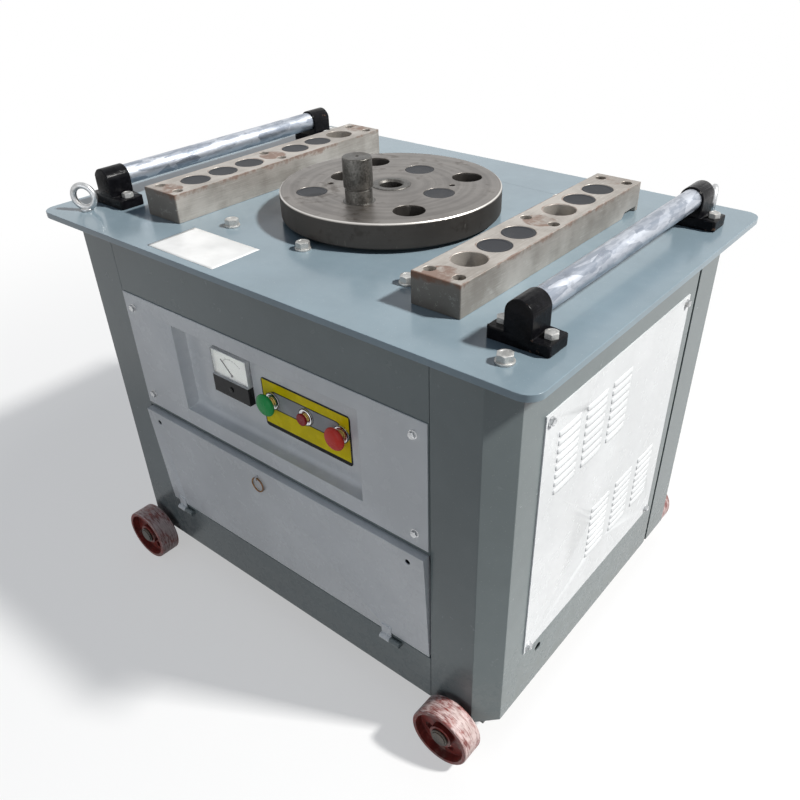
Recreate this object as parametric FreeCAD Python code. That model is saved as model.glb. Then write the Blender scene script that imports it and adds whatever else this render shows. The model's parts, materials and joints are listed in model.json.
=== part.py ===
import FreeCAD, Part
import math
import os

# Electric rebar bender: a wheeled cabinet carries a table plate with a turning
# disc, two hole bars and two support rollers. A motor in the cabinet drives the
# disc through V-belts and a worm gearbox hung under the table.
# Frame: +X right along the front, +Y to the rear, +Z up, origin on the floor.
# Every length is in millimetres.

V = FreeCAD.Vector

# ---------------------------------------------------------------- table plate
TABLE_LENGTH = 952.0
TABLE_DEPTH = 674.0
TABLE_THICK = 10.0
TABLE_TOP = 700.0
TABLE_CORNER = 24.0
TABLE_BOTTOM = TABLE_TOP - TABLE_THICK
SHAFT_OPENING = 132.0

# ------------------------------------------------------------------- hex bolts
BOLT_SHANK = 12.0
BOLT_FLATS = 19.0
BOLT_HEAD = 9.0
WASHER = 24.0
WASHER_THICK = 3.0
CORNER_BOLT_X = 409.0
CORNER_BOLT_Y = 291.0
EYE_RING_OUTER = 46.0
EYE_WIRE = 10.0
EYE_HEIGHT = 23.3
EYE_COLLAR = 20.0
EYE_COLLAR_HEIGHT = 5.0
EYE_TURNS = (30.0, 112.0)
WIRE_FLATS = 12

# ---------------------------------------------------------------- bending disc
DISC_DIAMETER = 350.0
DISC_THICK = 39.0
DISC_GAP = 6.0
DISC_BEVEL = 2.0
DISC_BOTTOM = TABLE_TOP + DISC_GAP
DISC_TOP = DISC_BOTTOM + DISC_THICK
SOCKET_DIAMETER = 48.0
SOCKET_FLOOR = 4.0
SOCKET_DRAIN = 30.0
OUTER_SOCKET_CIRCLE = 250.0
INNER_SOCKET_CIRCLE = 175.0
SOCKETS_PER_CIRCLE = 4
SOCKET_TURN = 7.4
INNER_PLUGGED = (0, 1)
INNER_PIN = 3
OUTER_PLUGGED = (2,)
EXTRACTOR_CIRCLE = 193.0
EXTRACTOR_TURN = 33.2
EXTRACTOR_DIAMETER = 9.5
EXTRACTOR_DEPTH = 25.0
SLEEVE_OUTER = 63.0
SLEEVE_BORE = 36.0
SLEEVE_PROUD = 1.0
PLUG_CLEARANCE = 0.05
PLUG_SUNK = 0.6
PLUG_LENGTH = 30.0

# ----------------------------------------------------------------- bending pin
PIN_HEAD_DIAMETER = 44.0
PIN_NECK_DIAMETER = 41.0
PIN_HEIGHT = 65.0
PIN_NECK_HEIGHT = 19.0
PIN_GROOVE = 3.0
PIN_GROOVE_DEPTH = 2.0
PIN_CLEARANCE = 0.1
PIN_FOOT_GAP = 0.3
PIN_CENTRE_DRILL = 7.0

# ------------------------------------------------------------------- hole bars
BAR_LENGTH = 480.0
BAR_WIDTH = 76.0
BAR_HEIGHT = 45.0
BAR_CENTRE = 272.0
BAR_SOCKET_FIRST = 54.5
BAR_SOCKET_PITCH = 57.0
BAR_SOCKETS_PER_END = 3
BAR_SCREW_SPREAD = 45.0
BAR_SCREW_END = 19.0
SCREW_SINK = 16.5
SCREW_SINK_DEPTH = 24.0
SCREW_HEAD = 16.0
SCREW_HEAD_HEIGHT = 10.0
SCREW_SHANK = 10.0
SCREW_KEY = 8.0
SCREW_KEY_DEPTH = 5.0
RELIEF_LENGTH = 46.0
RELIEF_HEIGHT = 8.0
RELIEF_DEPTH = 10.0
RELIEF_FOOT = 8.0
RELIEF_SLOPE = 9.0
LEFT_OPEN = (5,)
RIGHT_OPEN = (0, 3)

# -------------------------------------------------------------- support rollers
ROLLER_CENTRE = 402.0
ROLLER_HEIGHT = 41.0
ROLLER_DIAMETER = 32.0
ROLLER_WALL = 3.0
BRACKET_CENTRE_Y = 236.0
BRACKET_LENGTH = 86.0
BRACKET_DEPTH = 43.0
BRACKET_FOOT = 16.0
BRACKET_BOSS = 38.0
BRACKET_BOSS_DEPTH = 42.0
BRACKET_BOLT_SPREAD = 64.0
BRACKET_BOLT_SHANK = 10.0
BRACKET_BOLT_FLATS = 16.0
BRACKET_BOLT_HEAD = 7.0
BRACKET_BORE_DEPTH = 30.0
BRACKET_EDGE = 1.5
ROLLER_CLEARANCE = 0.08
ROLLER_END_GAP = 0.6

# ---------------------------------------------------------------------- cabinet
CABINET_LENGTH = 864.0
CABINET_DEPTH = 628.0
CABINET_BOTTOM = 55.0
SHEET = 3.0
CORNER_CHAMFER = 33.0
FRONT_WIDTH = 640.0
SEAM = 0.5
JAMB_DEPTH = 26.0
SIDE_END = 232.0
SIDE_GAP = 8.0
SIDE_RETURN = 20.0
WINDOW_EDGE = 22.0
FLOOR_TOP = 76.0
FLOOR_THICK = 4.0
CABLE_HOLE = 16.0
CABLE_HOLE_Y = -179.0
CABLE_HOLE_Z = 132.0

# side vent panels
VENT_PANEL_FRONT = -227.0
VENT_PANEL_REAR = 204.0
VENT_PANEL_LOW = 161.0
VENT_PANEL_HIGH = 602.0
PANEL_SHEET = 2.0
PANEL_BOLT_INSET = 11.0
VENT_SLOT_LENGTH = 58.0
VENT_SLOT_HEIGHT = 4.0
VENT_PITCH = 13.7
VENT_SLOTS = 8
VENT_COLUMNS = 3
UPPER_VENT_FIRST = -161.5
UPPER_VENT_PITCH = 75.0
UPPER_VENT_LOW = 456.0
LOWER_VENT_FIRST = -24.0
LOWER_VENT_PITCH = 80.0
LOWER_VENT_LOW = 233.0

# rear panel
REAR_WINDOW_EDGE = 70.0
REAR_PANEL_LAP = 22.0

# panel screws
PANEL_BOLT_SHANK = 6.0
PANEL_BOLT_FLATS = 10.0
PANEL_BOLT_HEAD = 4.5
PANEL_WASHER = 14.0
PANEL_WASHER_THICK = 1.2
PANEL_BOLT_REACH = 9.0

# ---------------------------------------------------------------- control panel
PANEL_GAP = 1.5
CONTROL_LOW = 376.0
CONTROL_HIGH = 592.0
CONTROL_BOLT_X = 296.0
CONTROL_BOLT_INSET = 24.5
NICHE_LENGTH = 398.0
NICHE_LOW = 407.0
NICHE_HIGH = 564.5
NICHE_DEPTH = 24.0
NICHE_BEND = 9.0
NICHE_FRAME_GAP = 8.0

METER_X = -86.0
METER_Z = 505.0
METER_WIDTH = 84.0
METER_HEIGHT = 78.0
METER_THICK = 8.5
METER_RIM = 1.5
METER_WINDOW_HEIGHT = 44.0
METER_DIAL_DEPTH = 5.0
METER_COVER_PROUD = 2.5
METER_BARREL = 58.0
METER_BARREL_LENGTH = 30.0
METER_GLASS = 1.6
NEEDLE_LENGTH = 33.0
NEEDLE_WIDTH = 1.4
NEEDLE_THICK = 0.8
NEEDLE_HUB = 4.0
NEEDLE_REST = 45.0
NEEDLE_PIVOT_DROP = 17.0

PLATE_X = 70.0
PLATE_Z = 481.0
PLATE_LENGTH = 184.0
PLATE_HEIGHT = 88.0
PLATE_THICK = 1.0
PLATE_CORNER = 6.0

BUTTON_FIRST_X = 1.5
BUTTON_PITCH = 72.0
BUTTON_Z = 490.5
BUTTON_HOLE = 22.4
BUTTON_BARREL = 22.0
BUTTON_COLLAR = 29.0
BUTTON_COLLAR_THICK = 4.0
BUTTON_STEM = 14.0
BUTTON_STEM_CLEARANCE = 0.08
MUSHROOM_DIAMETER = 38.0
MUSHROOM_THICK = 11.0
MUSHROOM_FRONT = 25.0
SMALL_HEAD = 20.0
SMALL_FRONT = 14.0
SMALL_THICK = 8.5
BUTTON_BLOCK_WIDTH = 30.0
BUTTON_BLOCK_HEIGHT = 44.0
BUTTON_BLOCK_LENGTH = 34.0
BUTTON_STEM_DEPTH = 10.0

# ------------------------------------------------------------------- front door
DOOR_GAP = 2.5
DOOR_LOW = 151.0
DOOR_SHEET = 2.0
DOOR_FLANGE = 14.0
DOOR_AJAR = 3.0
DOOR_HOLE = 9.0
DOOR_HOLE_INSET = 20.0
HINGE_XS = (-289.0, 232.0)
HINGE_DROP = 10.0
HINGE_OUT = 5.5
HINGE_STRAP_GAP = 0.8
HINGE_LAP = 14.0
HINGE_PIN = 5.0
HINGE_KNUCKLE = 10.0
HINGE_LENGTH = 20.0
HINGE_CLEARANCE = 0.08
HINGE_SIDE_GAP = 0.4
RING_X = -27.0
RING_DROP = 20.0
RING_DIAMETER = 28.0
RING_WIRE = 2.6
RING_GAP = 0.3
STAPLE_DIAMETER = 9.0
STAPLE_WIRE = 2.4

# ----------------------------------------------------------------------- wheels
WHEEL_DIAMETER = 104.0
WHEEL_WIDTH = 40.0
WHEEL_X = 375.0
WHEEL_OUT = 12.0
WHEEL_RIM = 7.0
WHEEL_WEB = 10.0
WHEEL_HUB = 40.0
WHEEL_HUB_INSET = 4.0
WHEEL_HOLES = 4
WHEEL_HOLE_CIRCLE = 64.0
WHEEL_HOLE = 15.0
WHEEL_EDGE = 1.5
AXLE_JOURNAL = 25.0
AXLE_BODY = 28.0
AXLE_CLEARANCE = 0.08
AXLE_PLAY = 0.4
AXLE_RING = 31.0
AXLE_RING_THICK = 3.0
AXLE_NOTCH_GAP = 2.0
AXLE_BRACKET_Y = 290.0
AXLE_BRACKET_THICK = 6.0
AXLE_BRACKET_WIDTH = 64.0
AXLE_BRACKET_LOW = 32.0
WHEEL_Z = WHEEL_DIAMETER / 2

# ---------------------------------------------------------------------- gearbox
GEARBOX_BOLT_X = (-160.0, -4.0, 192.0)
GEARBOX_BOLT_Y = 195.0
GEARBOX_FLANGE = 14.0
GEARBOX_FLANGE_EDGE = 28.0
GEARBOX_LOW = 500.0
GEARBOX_WALL = 12.0
GEARBOX_ROOM = 8.0
COVER_THICK = 12.0
WORM_WHEEL_DIAMETER = 240.0
WORM_WHEEL_WIDTH = 50.0
WORM_WHEEL_TEETH = 40
TOOTH_DEPTH = 5.0
WORM_DIAMETER = 60.0
WORM_THREAD = 5.0
WORM_TURNS = 6
WORM_GROOVE_PITCH = 18.85
WORM_Z = 560.0
WORM_HALF = 138.0
TIP_CLEARANCE = 0.6
WORM_JOURNAL = 40.0
WORM_BEARING = 80.0
WORM_BEARING_WIDTH = 18.0
TUNNEL_BORE = 88.0
MAIN_JOURNAL = 70.0
MAIN_BEARING = 110.0
MAIN_BEARING_WIDTH = 24.0
MAIN_BOSS_WALL = 12.0
BEARING_CLEARANCE = 0.05
SHAFT_FLANGE = 116.0
SHAFT_FLANGE_THICK = 13.0
SHAFT_BORE_DEPTH = 12.0
SHAFT_END_GAP = 2.0
WORM_OFFSET = WORM_WHEEL_DIAMETER / 2 + WORM_DIAMETER / 2

# ------------------------------------------------------------- motor and belts
MOTOR_Z = 190.0
MOTOR_DIAMETER = 200.0
MOTOR_LEFT = -160.0
MOTOR_RIGHT = 150.0
MOTOR_FINS = 24
MOTOR_FIN_HEIGHT = 8.0
MOTOR_SHIELD = 12.0
STATOR_BORE = 120.0
ROTOR_GAP = 1.0
MOTOR_SHAFT = 28.0
FAN_COVER_LENGTH = 62.0
FAN_COVER_SHEET = 2.0
FAN_DIAMETER = 150.0
FAN_THICK = 16.0
MOTOR_FOOT_SPREAD = 160.0
MOTOR_FOOT_THICK = 14.0
MOTOR_RAIL_X = 90.0
MOTOR_RAIL_WIDTH = 40.0
MOTOR_RAIL_LENGTH = 220.0
TERMINAL_LENGTH = 100.0
TERMINAL_WIDTH = 80.0
TERMINAL_HEIGHT = 50.0
BELT_COUNT = 2
BELT_PITCH = 19.0
BELT_WIDTH = 10.0
BELT_HEIGHT = 7.0
GROOVE_WIDTH = 11.0
GROOVE_DEPTH = 9.0
BELT_SEAT = 0.5
PULLEY_X = -236.0
PULLEY_WIDTH = 46.0
SMALL_PULLEY_PITCH = 80.0
LARGE_PULLEY_PITCH = 224.0
PULLEY_RIM_ABOVE = 5.0

# ------------------------------------------------------------ electrical plate
ELECTRIC_Y = -110.0
ELECTRIC_LEFT = 190.0
ELECTRIC_LOW = 410.0
ELECTRIC_HIGH = 676.0
ELECTRIC_FLANGE = 30.0
ELECTRIC_FLANGE_LOW = 602.0
CONTACTOR_WIDTH = 45.0
CONTACTOR_HEIGHT = 80.0
CONTACTOR_DEPTH = 72.0
CONTACTOR_PITCH = 62.0
CONTACTOR_COUNT = 3

# ------------------------------------------------------------- derived values
FRONT = -CABINET_DEPTH / 2
REAR = CABINET_DEPTH / 2
HALF_LENGTH = CABINET_LENGTH / 2
HALF_FRONT = FRONT_WIDTH / 2
NICHE_BACK = FRONT - PANEL_SHEET + NICHE_DEPTH
DOOR_HIGH = CONTROL_LOW - 2 * PANEL_GAP - 7.0
HINGE_Y = FRONT - HINGE_OUT
HINGE_Z = DOOR_LOW - HINGE_DROP
STAPLE = V(RING_X, FRONT - STAPLE_WIRE, DOOR_HIGH - RING_DROP)
BAR_TOP = TABLE_TOP + BAR_HEIGHT
MAIN_TOP_BEARING = TABLE_BOTTOM - GEARBOX_FLANGE - MAIN_BEARING_WIDTH
PIN_ANGLE = math.radians(SOCKET_TURN + INNER_PIN * 360.0 / SOCKETS_PER_CIRCLE)
PIN_X = INNER_SOCKET_CIRCLE / 2 * math.cos(PIN_ANGLE)
PIN_Y = INNER_SOCKET_CIRCLE / 2 * math.sin(PIN_ANGLE)
WHEEL_INNER = REAR + WHEEL_OUT
WHEEL_OUTER = WHEEL_INNER + WHEEL_WIDTH

AXES = {"x": V(1, 0, 0), "y": V(0, 1, 0), "z": V(0, 0, 1)}


# ------------------------------------------------------------- shape helpers
def box(x0, x1, y0, y1, z0, z1):
    """Box between two corners."""
    return Part.makeBox(x1 - x0, y1 - y0, z1 - z0, V(x0, y0, z0))


def rod(axis, a, b, low, high, diameter):
    """Cylinder along an axis; a and b are the other two coordinates, in order."""
    start = {"x": V(low, a, b), "y": V(a, low, b), "z": V(a, b, low)}[axis]
    return Part.makeCylinder(diameter / 2, high - low, start, AXES[axis])


def tube(axis, a, b, low, high, outer, inner):
    """Hollow cylinder."""
    return rod(axis, a, b, low, high, outer).cut(rod(axis, a, b, low, high, inner))


def prism(points, axis, low, high):
    """Closed outline in the plane across an axis, carried from low to high."""
    place = {
        "x": lambda a, b: V(low, a, b),
        "y": lambda a, b: V(a, low, b),
        "z": lambda a, b: V(a, b, low),
    }[axis]
    corners = [place(a, b) for a, b in points]
    face = Part.Face(Part.makePolygon(corners + corners[:1]))
    return face.extrude(AXES[axis] * (high - low))


def turned(profile, axis, a, b):
    """Profile of (radius, height) points turned about an axis through a and b."""
    place = {
        "x": lambda r, h: V(h, a + r, b),
        "y": lambda r, h: V(a + r, h, b),
        "z": lambda r, h: V(a + r, b, h),
    }[axis]
    origin = {"x": V(0, a, b), "y": V(a, 0, b), "z": V(a, b, 0)}[axis]
    corners = [place(r, h) for r, h in profile]
    face = Part.Face(Part.makePolygon(corners + corners[:1]))
    return face.revolve(origin, AXES[axis], 360)


def join(shapes):
    """One solid from overlapping or touching shapes."""
    result = shapes[0]
    if len(shapes) > 1:
        result = shapes[0].multiFuse(shapes[1:])
    return result.removeSplitter()


def group(shapes):
    """Several separate solids kept in one node."""
    solids = []
    for shape in shapes:
        solids.extend(shape.Solids)
    return Part.makeCompound(solids)


def wire_ring(centre, facing, outer, wire):
    """Ring of round wire; its section has as many flats as keep it light."""
    middle = (outer - wire) / 2
    across = facing.cross(V(0, 0, 1)) if abs(facing.z) < 0.9 else V(1, 0, 0)
    across.normalize()
    corners = []
    for k in range(WIRE_FLATS):
        angle = math.radians((k + 0.5) * 360.0 / WIRE_FLATS)
        corners.append(centre + across * (middle + wire / 2 * math.cos(angle)) + facing * (wire / 2 * math.sin(angle)))
    return Part.Face(Part.makePolygon(corners + corners[:1])).revolve(centre, facing, 360)


def less(shape, tools):
    """Shape with every tool cut out of it."""
    if not tools:
        return shape
    return shape.cut(Part.makeCompound(tools))


def mirrored_x(shape):
    """Shape mirrored from one side of the machine to the other."""
    return shape.mirror(V(0, 0, 0), V(1, 0, 0))


def hexagon(x, y, flats):
    """Corners of a hexagon with the given distance across its flats."""
    reach = flats / math.sqrt(3)
    return [
        (x + reach * math.cos(math.radians(60 * k)), y + reach * math.sin(math.radians(60 * k)))
        for k in range(6)
    ]


def rounded_plate(x0, x1, y0, y1, z0, z1, corner, axis="z"):
    """Plate whose four corners are rounded about one axis."""
    plate = box(x0, x1, y0, y1, z0, z1)
    direction = AXES[axis]
    edges = [
        edge for edge in plate.Edges
        if abs(abs(edge.tangentAt(edge.FirstParameter).dot(direction)) - 1) < 1e-6
    ]
    return plate.makeFillet(corner, edges)


def folded(path, thickness, low, high):
    """Folded sheet standing upright; path is its outer face, metal to the left of it."""
    inner = []
    count = len(path)
    for i in range(count):
        normals = []
        for start, end in ((i - 1, i), (i, i + 1)):
            if start < 0 or end >= count:
                continue
            dx = path[end][0] - path[start][0]
            dy = path[end][1] - path[start][1]
            size = math.hypot(dx, dy)
            normals.append((-dy / size, dx / size))
        if len(normals) == 1:
            normals = normals * 2
        (ax, ay), (bx, by) = normals
        scale = thickness / (1 + ax * bx + ay * by)
        inner.append((path[i][0] + (ax + bx) * scale, path[i][1] + (ay + by) * scale))
    return prism(path + inner[::-1], "z", low, high)


def hex_bolt(x, y, seat, flats, head, shank, length, axis="z", way=1):
    """Hex bolt whose head sits on seat; way says to which side the head points."""
    corners = hexagon(x, y, flats)
    low, high = sorted((seat, seat + way * head))
    head_shape = prism(corners, axis, low, high)
    low, high = sorted((seat, seat - way * length))
    return join([head_shape, rod(axis, x, y, low, high, shank)])


def washer_bolt(x, y, seat, length):
    """Table bolt standing on its washer."""
    face = seat + WASHER_THICK
    bolt = hex_bolt(x, y, face, BOLT_FLATS, BOLT_HEAD, BOLT_SHANK, WASHER_THICK + length)
    return join([bolt, rod("z", x, y, seat, face, WASHER)])


def panel_bolt(x, z, seat, axis, way):
    """Panel bolt with the washer under its head."""
    face = seat + way * PANEL_WASHER_THICK
    low, high = sorted((seat, face))
    washer = rod(axis, x, z, low, high, PANEL_WASHER)
    length = PANEL_WASHER_THICK + PANEL_BOLT_REACH
    bolt = hex_bolt(x, z, face, PANEL_BOLT_FLATS, PANEL_BOLT_HEAD, PANEL_BOLT_SHANK, length, axis, way)
    return join([washer, bolt])


def about_hinge(shape):
    """Door piece turned from shut to the ajar angle at which it rests."""
    return shape.rotated(V(0, HINGE_Y, HINGE_Z), V(1, 0, 0), DOOR_AJAR)


# ------------------------------------------------------------- pattern places
def disc_sockets():
    """Every disc socket as (x, y, state), inner circle first."""
    places = []
    step = 360.0 / SOCKETS_PER_CIRCLE
    for k in range(SOCKETS_PER_CIRCLE):
        state = "plug" if k in INNER_PLUGGED else "pin" if k == INNER_PIN else "open"
        places.append((INNER_SOCKET_CIRCLE / 2, SOCKET_TURN + k * step, state))
    for k in range(SOCKETS_PER_CIRCLE):
        state = "plug" if k in OUTER_PLUGGED else "open"
        places.append((OUTER_SOCKET_CIRCLE / 2, SOCKET_TURN + (k + 0.5) * step, state))
    return [
        (r * math.cos(math.radians(angle)), r * math.sin(math.radians(angle)), state)
        for r, angle, state in places
    ]


def bar_socket_ys():
    """Socket places along a hole bar, front to rear."""
    reach = [BAR_SOCKET_FIRST + k * BAR_SOCKET_PITCH for k in range(BAR_SOCKETS_PER_END)]
    return [-y for y in reach[::-1]] + reach


def bar_screw_places(centre):
    """Screw places of one hole bar: a pair at each end and one in the middle."""
    end = BAR_LENGTH / 2 - BAR_SCREW_END
    half = BAR_SCREW_SPREAD / 2
    return [(centre + side * half, y) for y in (-end, 0.0, end) for side in (-1, 1)]


def bracket_bolt_places():
    """Bolt places of the four roller brackets."""
    half = BRACKET_BOLT_SPREAD / 2
    return [
        (side * ROLLER_CENTRE + offset, end * BRACKET_CENTRE_Y)
        for side in (-1, 1) for end in (-1, 1) for offset in (-half, half)
    ]


def gearbox_bolt_places():
    """Bolts that hang the gearbox under the table."""
    return [(x, end * GEARBOX_BOLT_Y) for x in GEARBOX_BOLT_X for end in (-1, 1)]


def corner_places():
    """Corner bolt places, then the two corners that carry lifting eyes."""
    bolts = [(CORNER_BOLT_X, -CORNER_BOLT_Y), (-CORNER_BOLT_X, CORNER_BOLT_Y)]
    eyes = [(-CORNER_BOLT_X, -CORNER_BOLT_Y), (CORNER_BOLT_X, CORNER_BOLT_Y)]
    return bolts, eyes


# ----------------------------------------------------------------- table group
def table_plate():
    """Table plate with the shaft opening and every bolt hole."""
    plate = rounded_plate(
        -TABLE_LENGTH / 2, TABLE_LENGTH / 2, -TABLE_DEPTH / 2, TABLE_DEPTH / 2,
        TABLE_BOTTOM, TABLE_TOP, TABLE_CORNER,
    )
    bolts, eyes = corner_places()
    through = bolts + eyes + gearbox_bolt_places()
    holes = [rod("z", 0, 0, TABLE_BOTTOM, TABLE_TOP, SHAFT_OPENING)]
    holes += [rod("z", x, y, TABLE_BOTTOM, TABLE_TOP, BOLT_SHANK) for x, y in through]
    holes += [rod("z", x, y, TABLE_BOTTOM, TABLE_TOP, BRACKET_BOLT_SHANK) for x, y in bracket_bolt_places()]
    for centre in (-BAR_CENTRE, BAR_CENTRE):
        holes += [rod("z", x, y, TABLE_BOTTOM, TABLE_TOP, SCREW_SHANK) for x, y in bar_screw_places(centre)]
    return less(plate, holes)


def hole_bar(centre):
    """Hole bar with six pin sockets and six counterbored screw holes."""
    bar = box(
        centre - BAR_WIDTH / 2, centre + BAR_WIDTH / 2,
        -BAR_LENGTH / 2, BAR_LENGTH / 2, TABLE_TOP, BAR_TOP,
    )
    cuts = []
    for y in bar_socket_ys():
        cuts.append(rod("z", centre, y, TABLE_TOP, BAR_TOP, SOCKET_DIAMETER))
    for x, y in bar_screw_places(centre):
        cuts.append(rod("z", x, y, TABLE_TOP, BAR_TOP, SCREW_SHANK))
        cuts.append(rod("z", x, y, BAR_TOP - SCREW_SINK_DEPTH, BAR_TOP, SCREW_SINK))
    return less(bar, cuts)


def right_hole_bar():
    """Right bar, with the sloping relief under its outer rear end."""
    outer = BAR_CENTRE + BAR_WIDTH / 2
    rear = BAR_LENGTH / 2 - RELIEF_FOOT
    front = rear - RELIEF_LENGTH
    top = TABLE_TOP + RELIEF_HEIGHT
    outline = [(rear, TABLE_TOP), (rear, top), (front + RELIEF_SLOPE, top), (front, TABLE_TOP)]
    relief = prism(outline, "x", outer - RELIEF_DEPTH, outer)
    return hole_bar(BAR_CENTRE).cut(relief)


def socket_plug(x, y, top):
    """Dust plug pressed into a pin socket."""
    diameter = SOCKET_DIAMETER - 2 * PLUG_CLEARANCE
    return rod("z", x, y, top - PLUG_SUNK - PLUG_LENGTH, top - PLUG_SUNK, diameter)


def bar_plugs():
    """Plugs of both hole bars."""
    plugs = []
    for centre, empty in ((-BAR_CENTRE, LEFT_OPEN), (BAR_CENTRE, RIGHT_OPEN)):
        for k, y in enumerate(bar_socket_ys()):
            if k not in empty:
                plugs.append(socket_plug(centre, y, BAR_TOP))
    return group(plugs)


def bar_screws():
    """Cap screws sunk in the hole bars."""
    screws = []
    for centre in (-BAR_CENTRE, BAR_CENTRE):
        for x, y in bar_screw_places(centre):
            seat = BAR_TOP - SCREW_SINK_DEPTH
            head = rod("z", x, y, seat, seat + SCREW_HEAD_HEIGHT, SCREW_HEAD)
            key = prism(hexagon(x, y, SCREW_KEY), "z", seat + SCREW_HEAD_HEIGHT - SCREW_KEY_DEPTH,
                        seat + SCREW_HEAD_HEIGHT)
            shank = rod("z", x, y, TABLE_BOTTOM, seat, SCREW_SHANK)
            screws.append(join([head, shank]).cut(key))
    return group(screws)


def eye_bolts():
    """Lifting eyes at two opposite corners of the table."""
    eyes = []
    for turn, (x, y) in zip(EYE_TURNS, corner_places()[1]):
        facing = V(math.sin(math.radians(turn)), -math.cos(math.radians(turn)), 0)
        ring = wire_ring(V(x, y, TABLE_TOP + EYE_HEIGHT), facing, EYE_RING_OUTER, EYE_WIRE)
        collar = rod("z", x, y, TABLE_TOP, TABLE_TOP + EYE_COLLAR_HEIGHT, EYE_COLLAR)
        shank = rod("z", x, y, TABLE_BOTTOM, TABLE_TOP, BOLT_SHANK)
        eyes.append(join([ring, collar, shank]))
    return group(eyes)


def table_bolts():
    """Hex bolts of the corners, the gearbox and the roller brackets."""
    bolts = []
    for x, y in corner_places()[0]:
        bolts.append(washer_bolt(x, y, TABLE_TOP, TABLE_THICK))
    for x, y in gearbox_bolt_places():
        bolts.append(washer_bolt(x, y, TABLE_TOP, TABLE_THICK + GEARBOX_FLANGE))
    for x, y in bracket_bolt_places():
        reach = BRACKET_FOOT + TABLE_THICK
        seat = TABLE_TOP + BRACKET_FOOT
        bolts.append(hex_bolt(x, y, seat, BRACKET_BOLT_FLATS, BRACKET_BOLT_HEAD, BRACKET_BOLT_SHANK, reach))
    return group(bolts)


def roller_bracket(side, end):
    """Cast roller bracket: a foot with two bolt holes and a round-topped blind boss."""
    x = side * ROLLER_CENTRE
    y = end * BRACKET_CENTRE_Y
    z = TABLE_TOP + ROLLER_HEIGHT
    outer_y = y + end * BRACKET_DEPTH / 2
    boss_y = sorted((outer_y, outer_y - end * BRACKET_BOSS_DEPTH))
    mouth = outer_y - end * BRACKET_BOSS_DEPTH
    bore_y = sorted((mouth, mouth + end * BRACKET_BORE_DEPTH))
    foot = rounded_plate(
        x - BRACKET_LENGTH / 2, x + BRACKET_LENGTH / 2, y - BRACKET_DEPTH / 2, y + BRACKET_DEPTH / 2,
        TABLE_TOP, TABLE_TOP + BRACKET_FOOT, 3 * BRACKET_EDGE,
    )
    boss = rod("y", x, z, boss_y[0], boss_y[1], BRACKET_BOSS)
    web = box(x - BRACKET_BOSS / 2, x + BRACKET_BOSS / 2, boss_y[0], boss_y[1], TABLE_TOP, z)
    body = join([foot, boss, web])
    cuts = [rod("y", x, z, bore_y[0], bore_y[1], ROLLER_DIAMETER + 2 * ROLLER_CLEARANCE)]
    for offset in (-BRACKET_BOLT_SPREAD / 2, BRACKET_BOLT_SPREAD / 2):
        cuts.append(rod("z", x + offset, y, TABLE_TOP, TABLE_TOP + BRACKET_FOOT, BRACKET_BOLT_SHANK))
    return less(body, cuts)


def roller(side):
    """Galvanised roller tube turning in the bores of its two brackets."""
    mouth = BRACKET_CENTRE_Y + BRACKET_DEPTH / 2 - BRACKET_BOSS_DEPTH
    reach = mouth + BRACKET_BORE_DEPTH - ROLLER_END_GAP
    inner = ROLLER_DIAMETER - 2 * ROLLER_WALL
    return tube("y", side * ROLLER_CENTRE, TABLE_TOP + ROLLER_HEIGHT, -reach, reach, ROLLER_DIAMETER, inner)


# ------------------------------------------------------------------ disc group
def bending_disc():
    """Turning disc with bevelled rim, eight pin sockets and two extractor holes."""
    radius = DISC_DIAMETER / 2
    disc = turned(
        [(0, DISC_BOTTOM), (radius - DISC_BEVEL, DISC_BOTTOM), (radius, DISC_BOTTOM + DISC_BEVEL),
         (radius, DISC_TOP - DISC_BEVEL), (radius - DISC_BEVEL, DISC_TOP), (0, DISC_TOP)],
        "z", 0, 0,
    )
    cuts = [rod("z", 0, 0, DISC_BOTTOM, DISC_TOP, SLEEVE_OUTER)]
    for x, y, _ in disc_sockets():
        cuts.append(rod("z", x, y, DISC_BOTTOM + SOCKET_FLOOR, DISC_TOP, SOCKET_DIAMETER))
        cuts.append(rod("z", x, y, DISC_BOTTOM, DISC_TOP, SOCKET_DRAIN))
    for turn in (EXTRACTOR_TURN, EXTRACTOR_TURN + 180):
        x = EXTRACTOR_CIRCLE / 2 * math.cos(math.radians(turn))
        y = EXTRACTOR_CIRCLE / 2 * math.sin(math.radians(turn))
        cuts.append(rod("z", x, y, DISC_TOP - EXTRACTOR_DEPTH, DISC_TOP, EXTRACTOR_DIAMETER))
    return less(disc, cuts)


def disc_plugs():
    """Plugs in the disc sockets that are out of use."""
    return group([socket_plug(x, y, DISC_TOP) for x, y, state in disc_sockets() if state == "plug"])


def centre_sleeve():
    """Hardened sleeve in the middle of the disc, with a bevelled lip."""
    outer = SLEEVE_OUTER / 2
    bore = SLEEVE_BORE / 2
    top = DISC_TOP + SLEEVE_PROUD
    lip = SLEEVE_PROUD
    return turned(
        [(bore, DISC_BOTTOM), (outer, DISC_BOTTOM), (outer, DISC_TOP), (outer - lip, top),
         (bore + 3 * lip, top), (bore, top - 3 * lip)],
        "z", 0, 0,
    )


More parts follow.
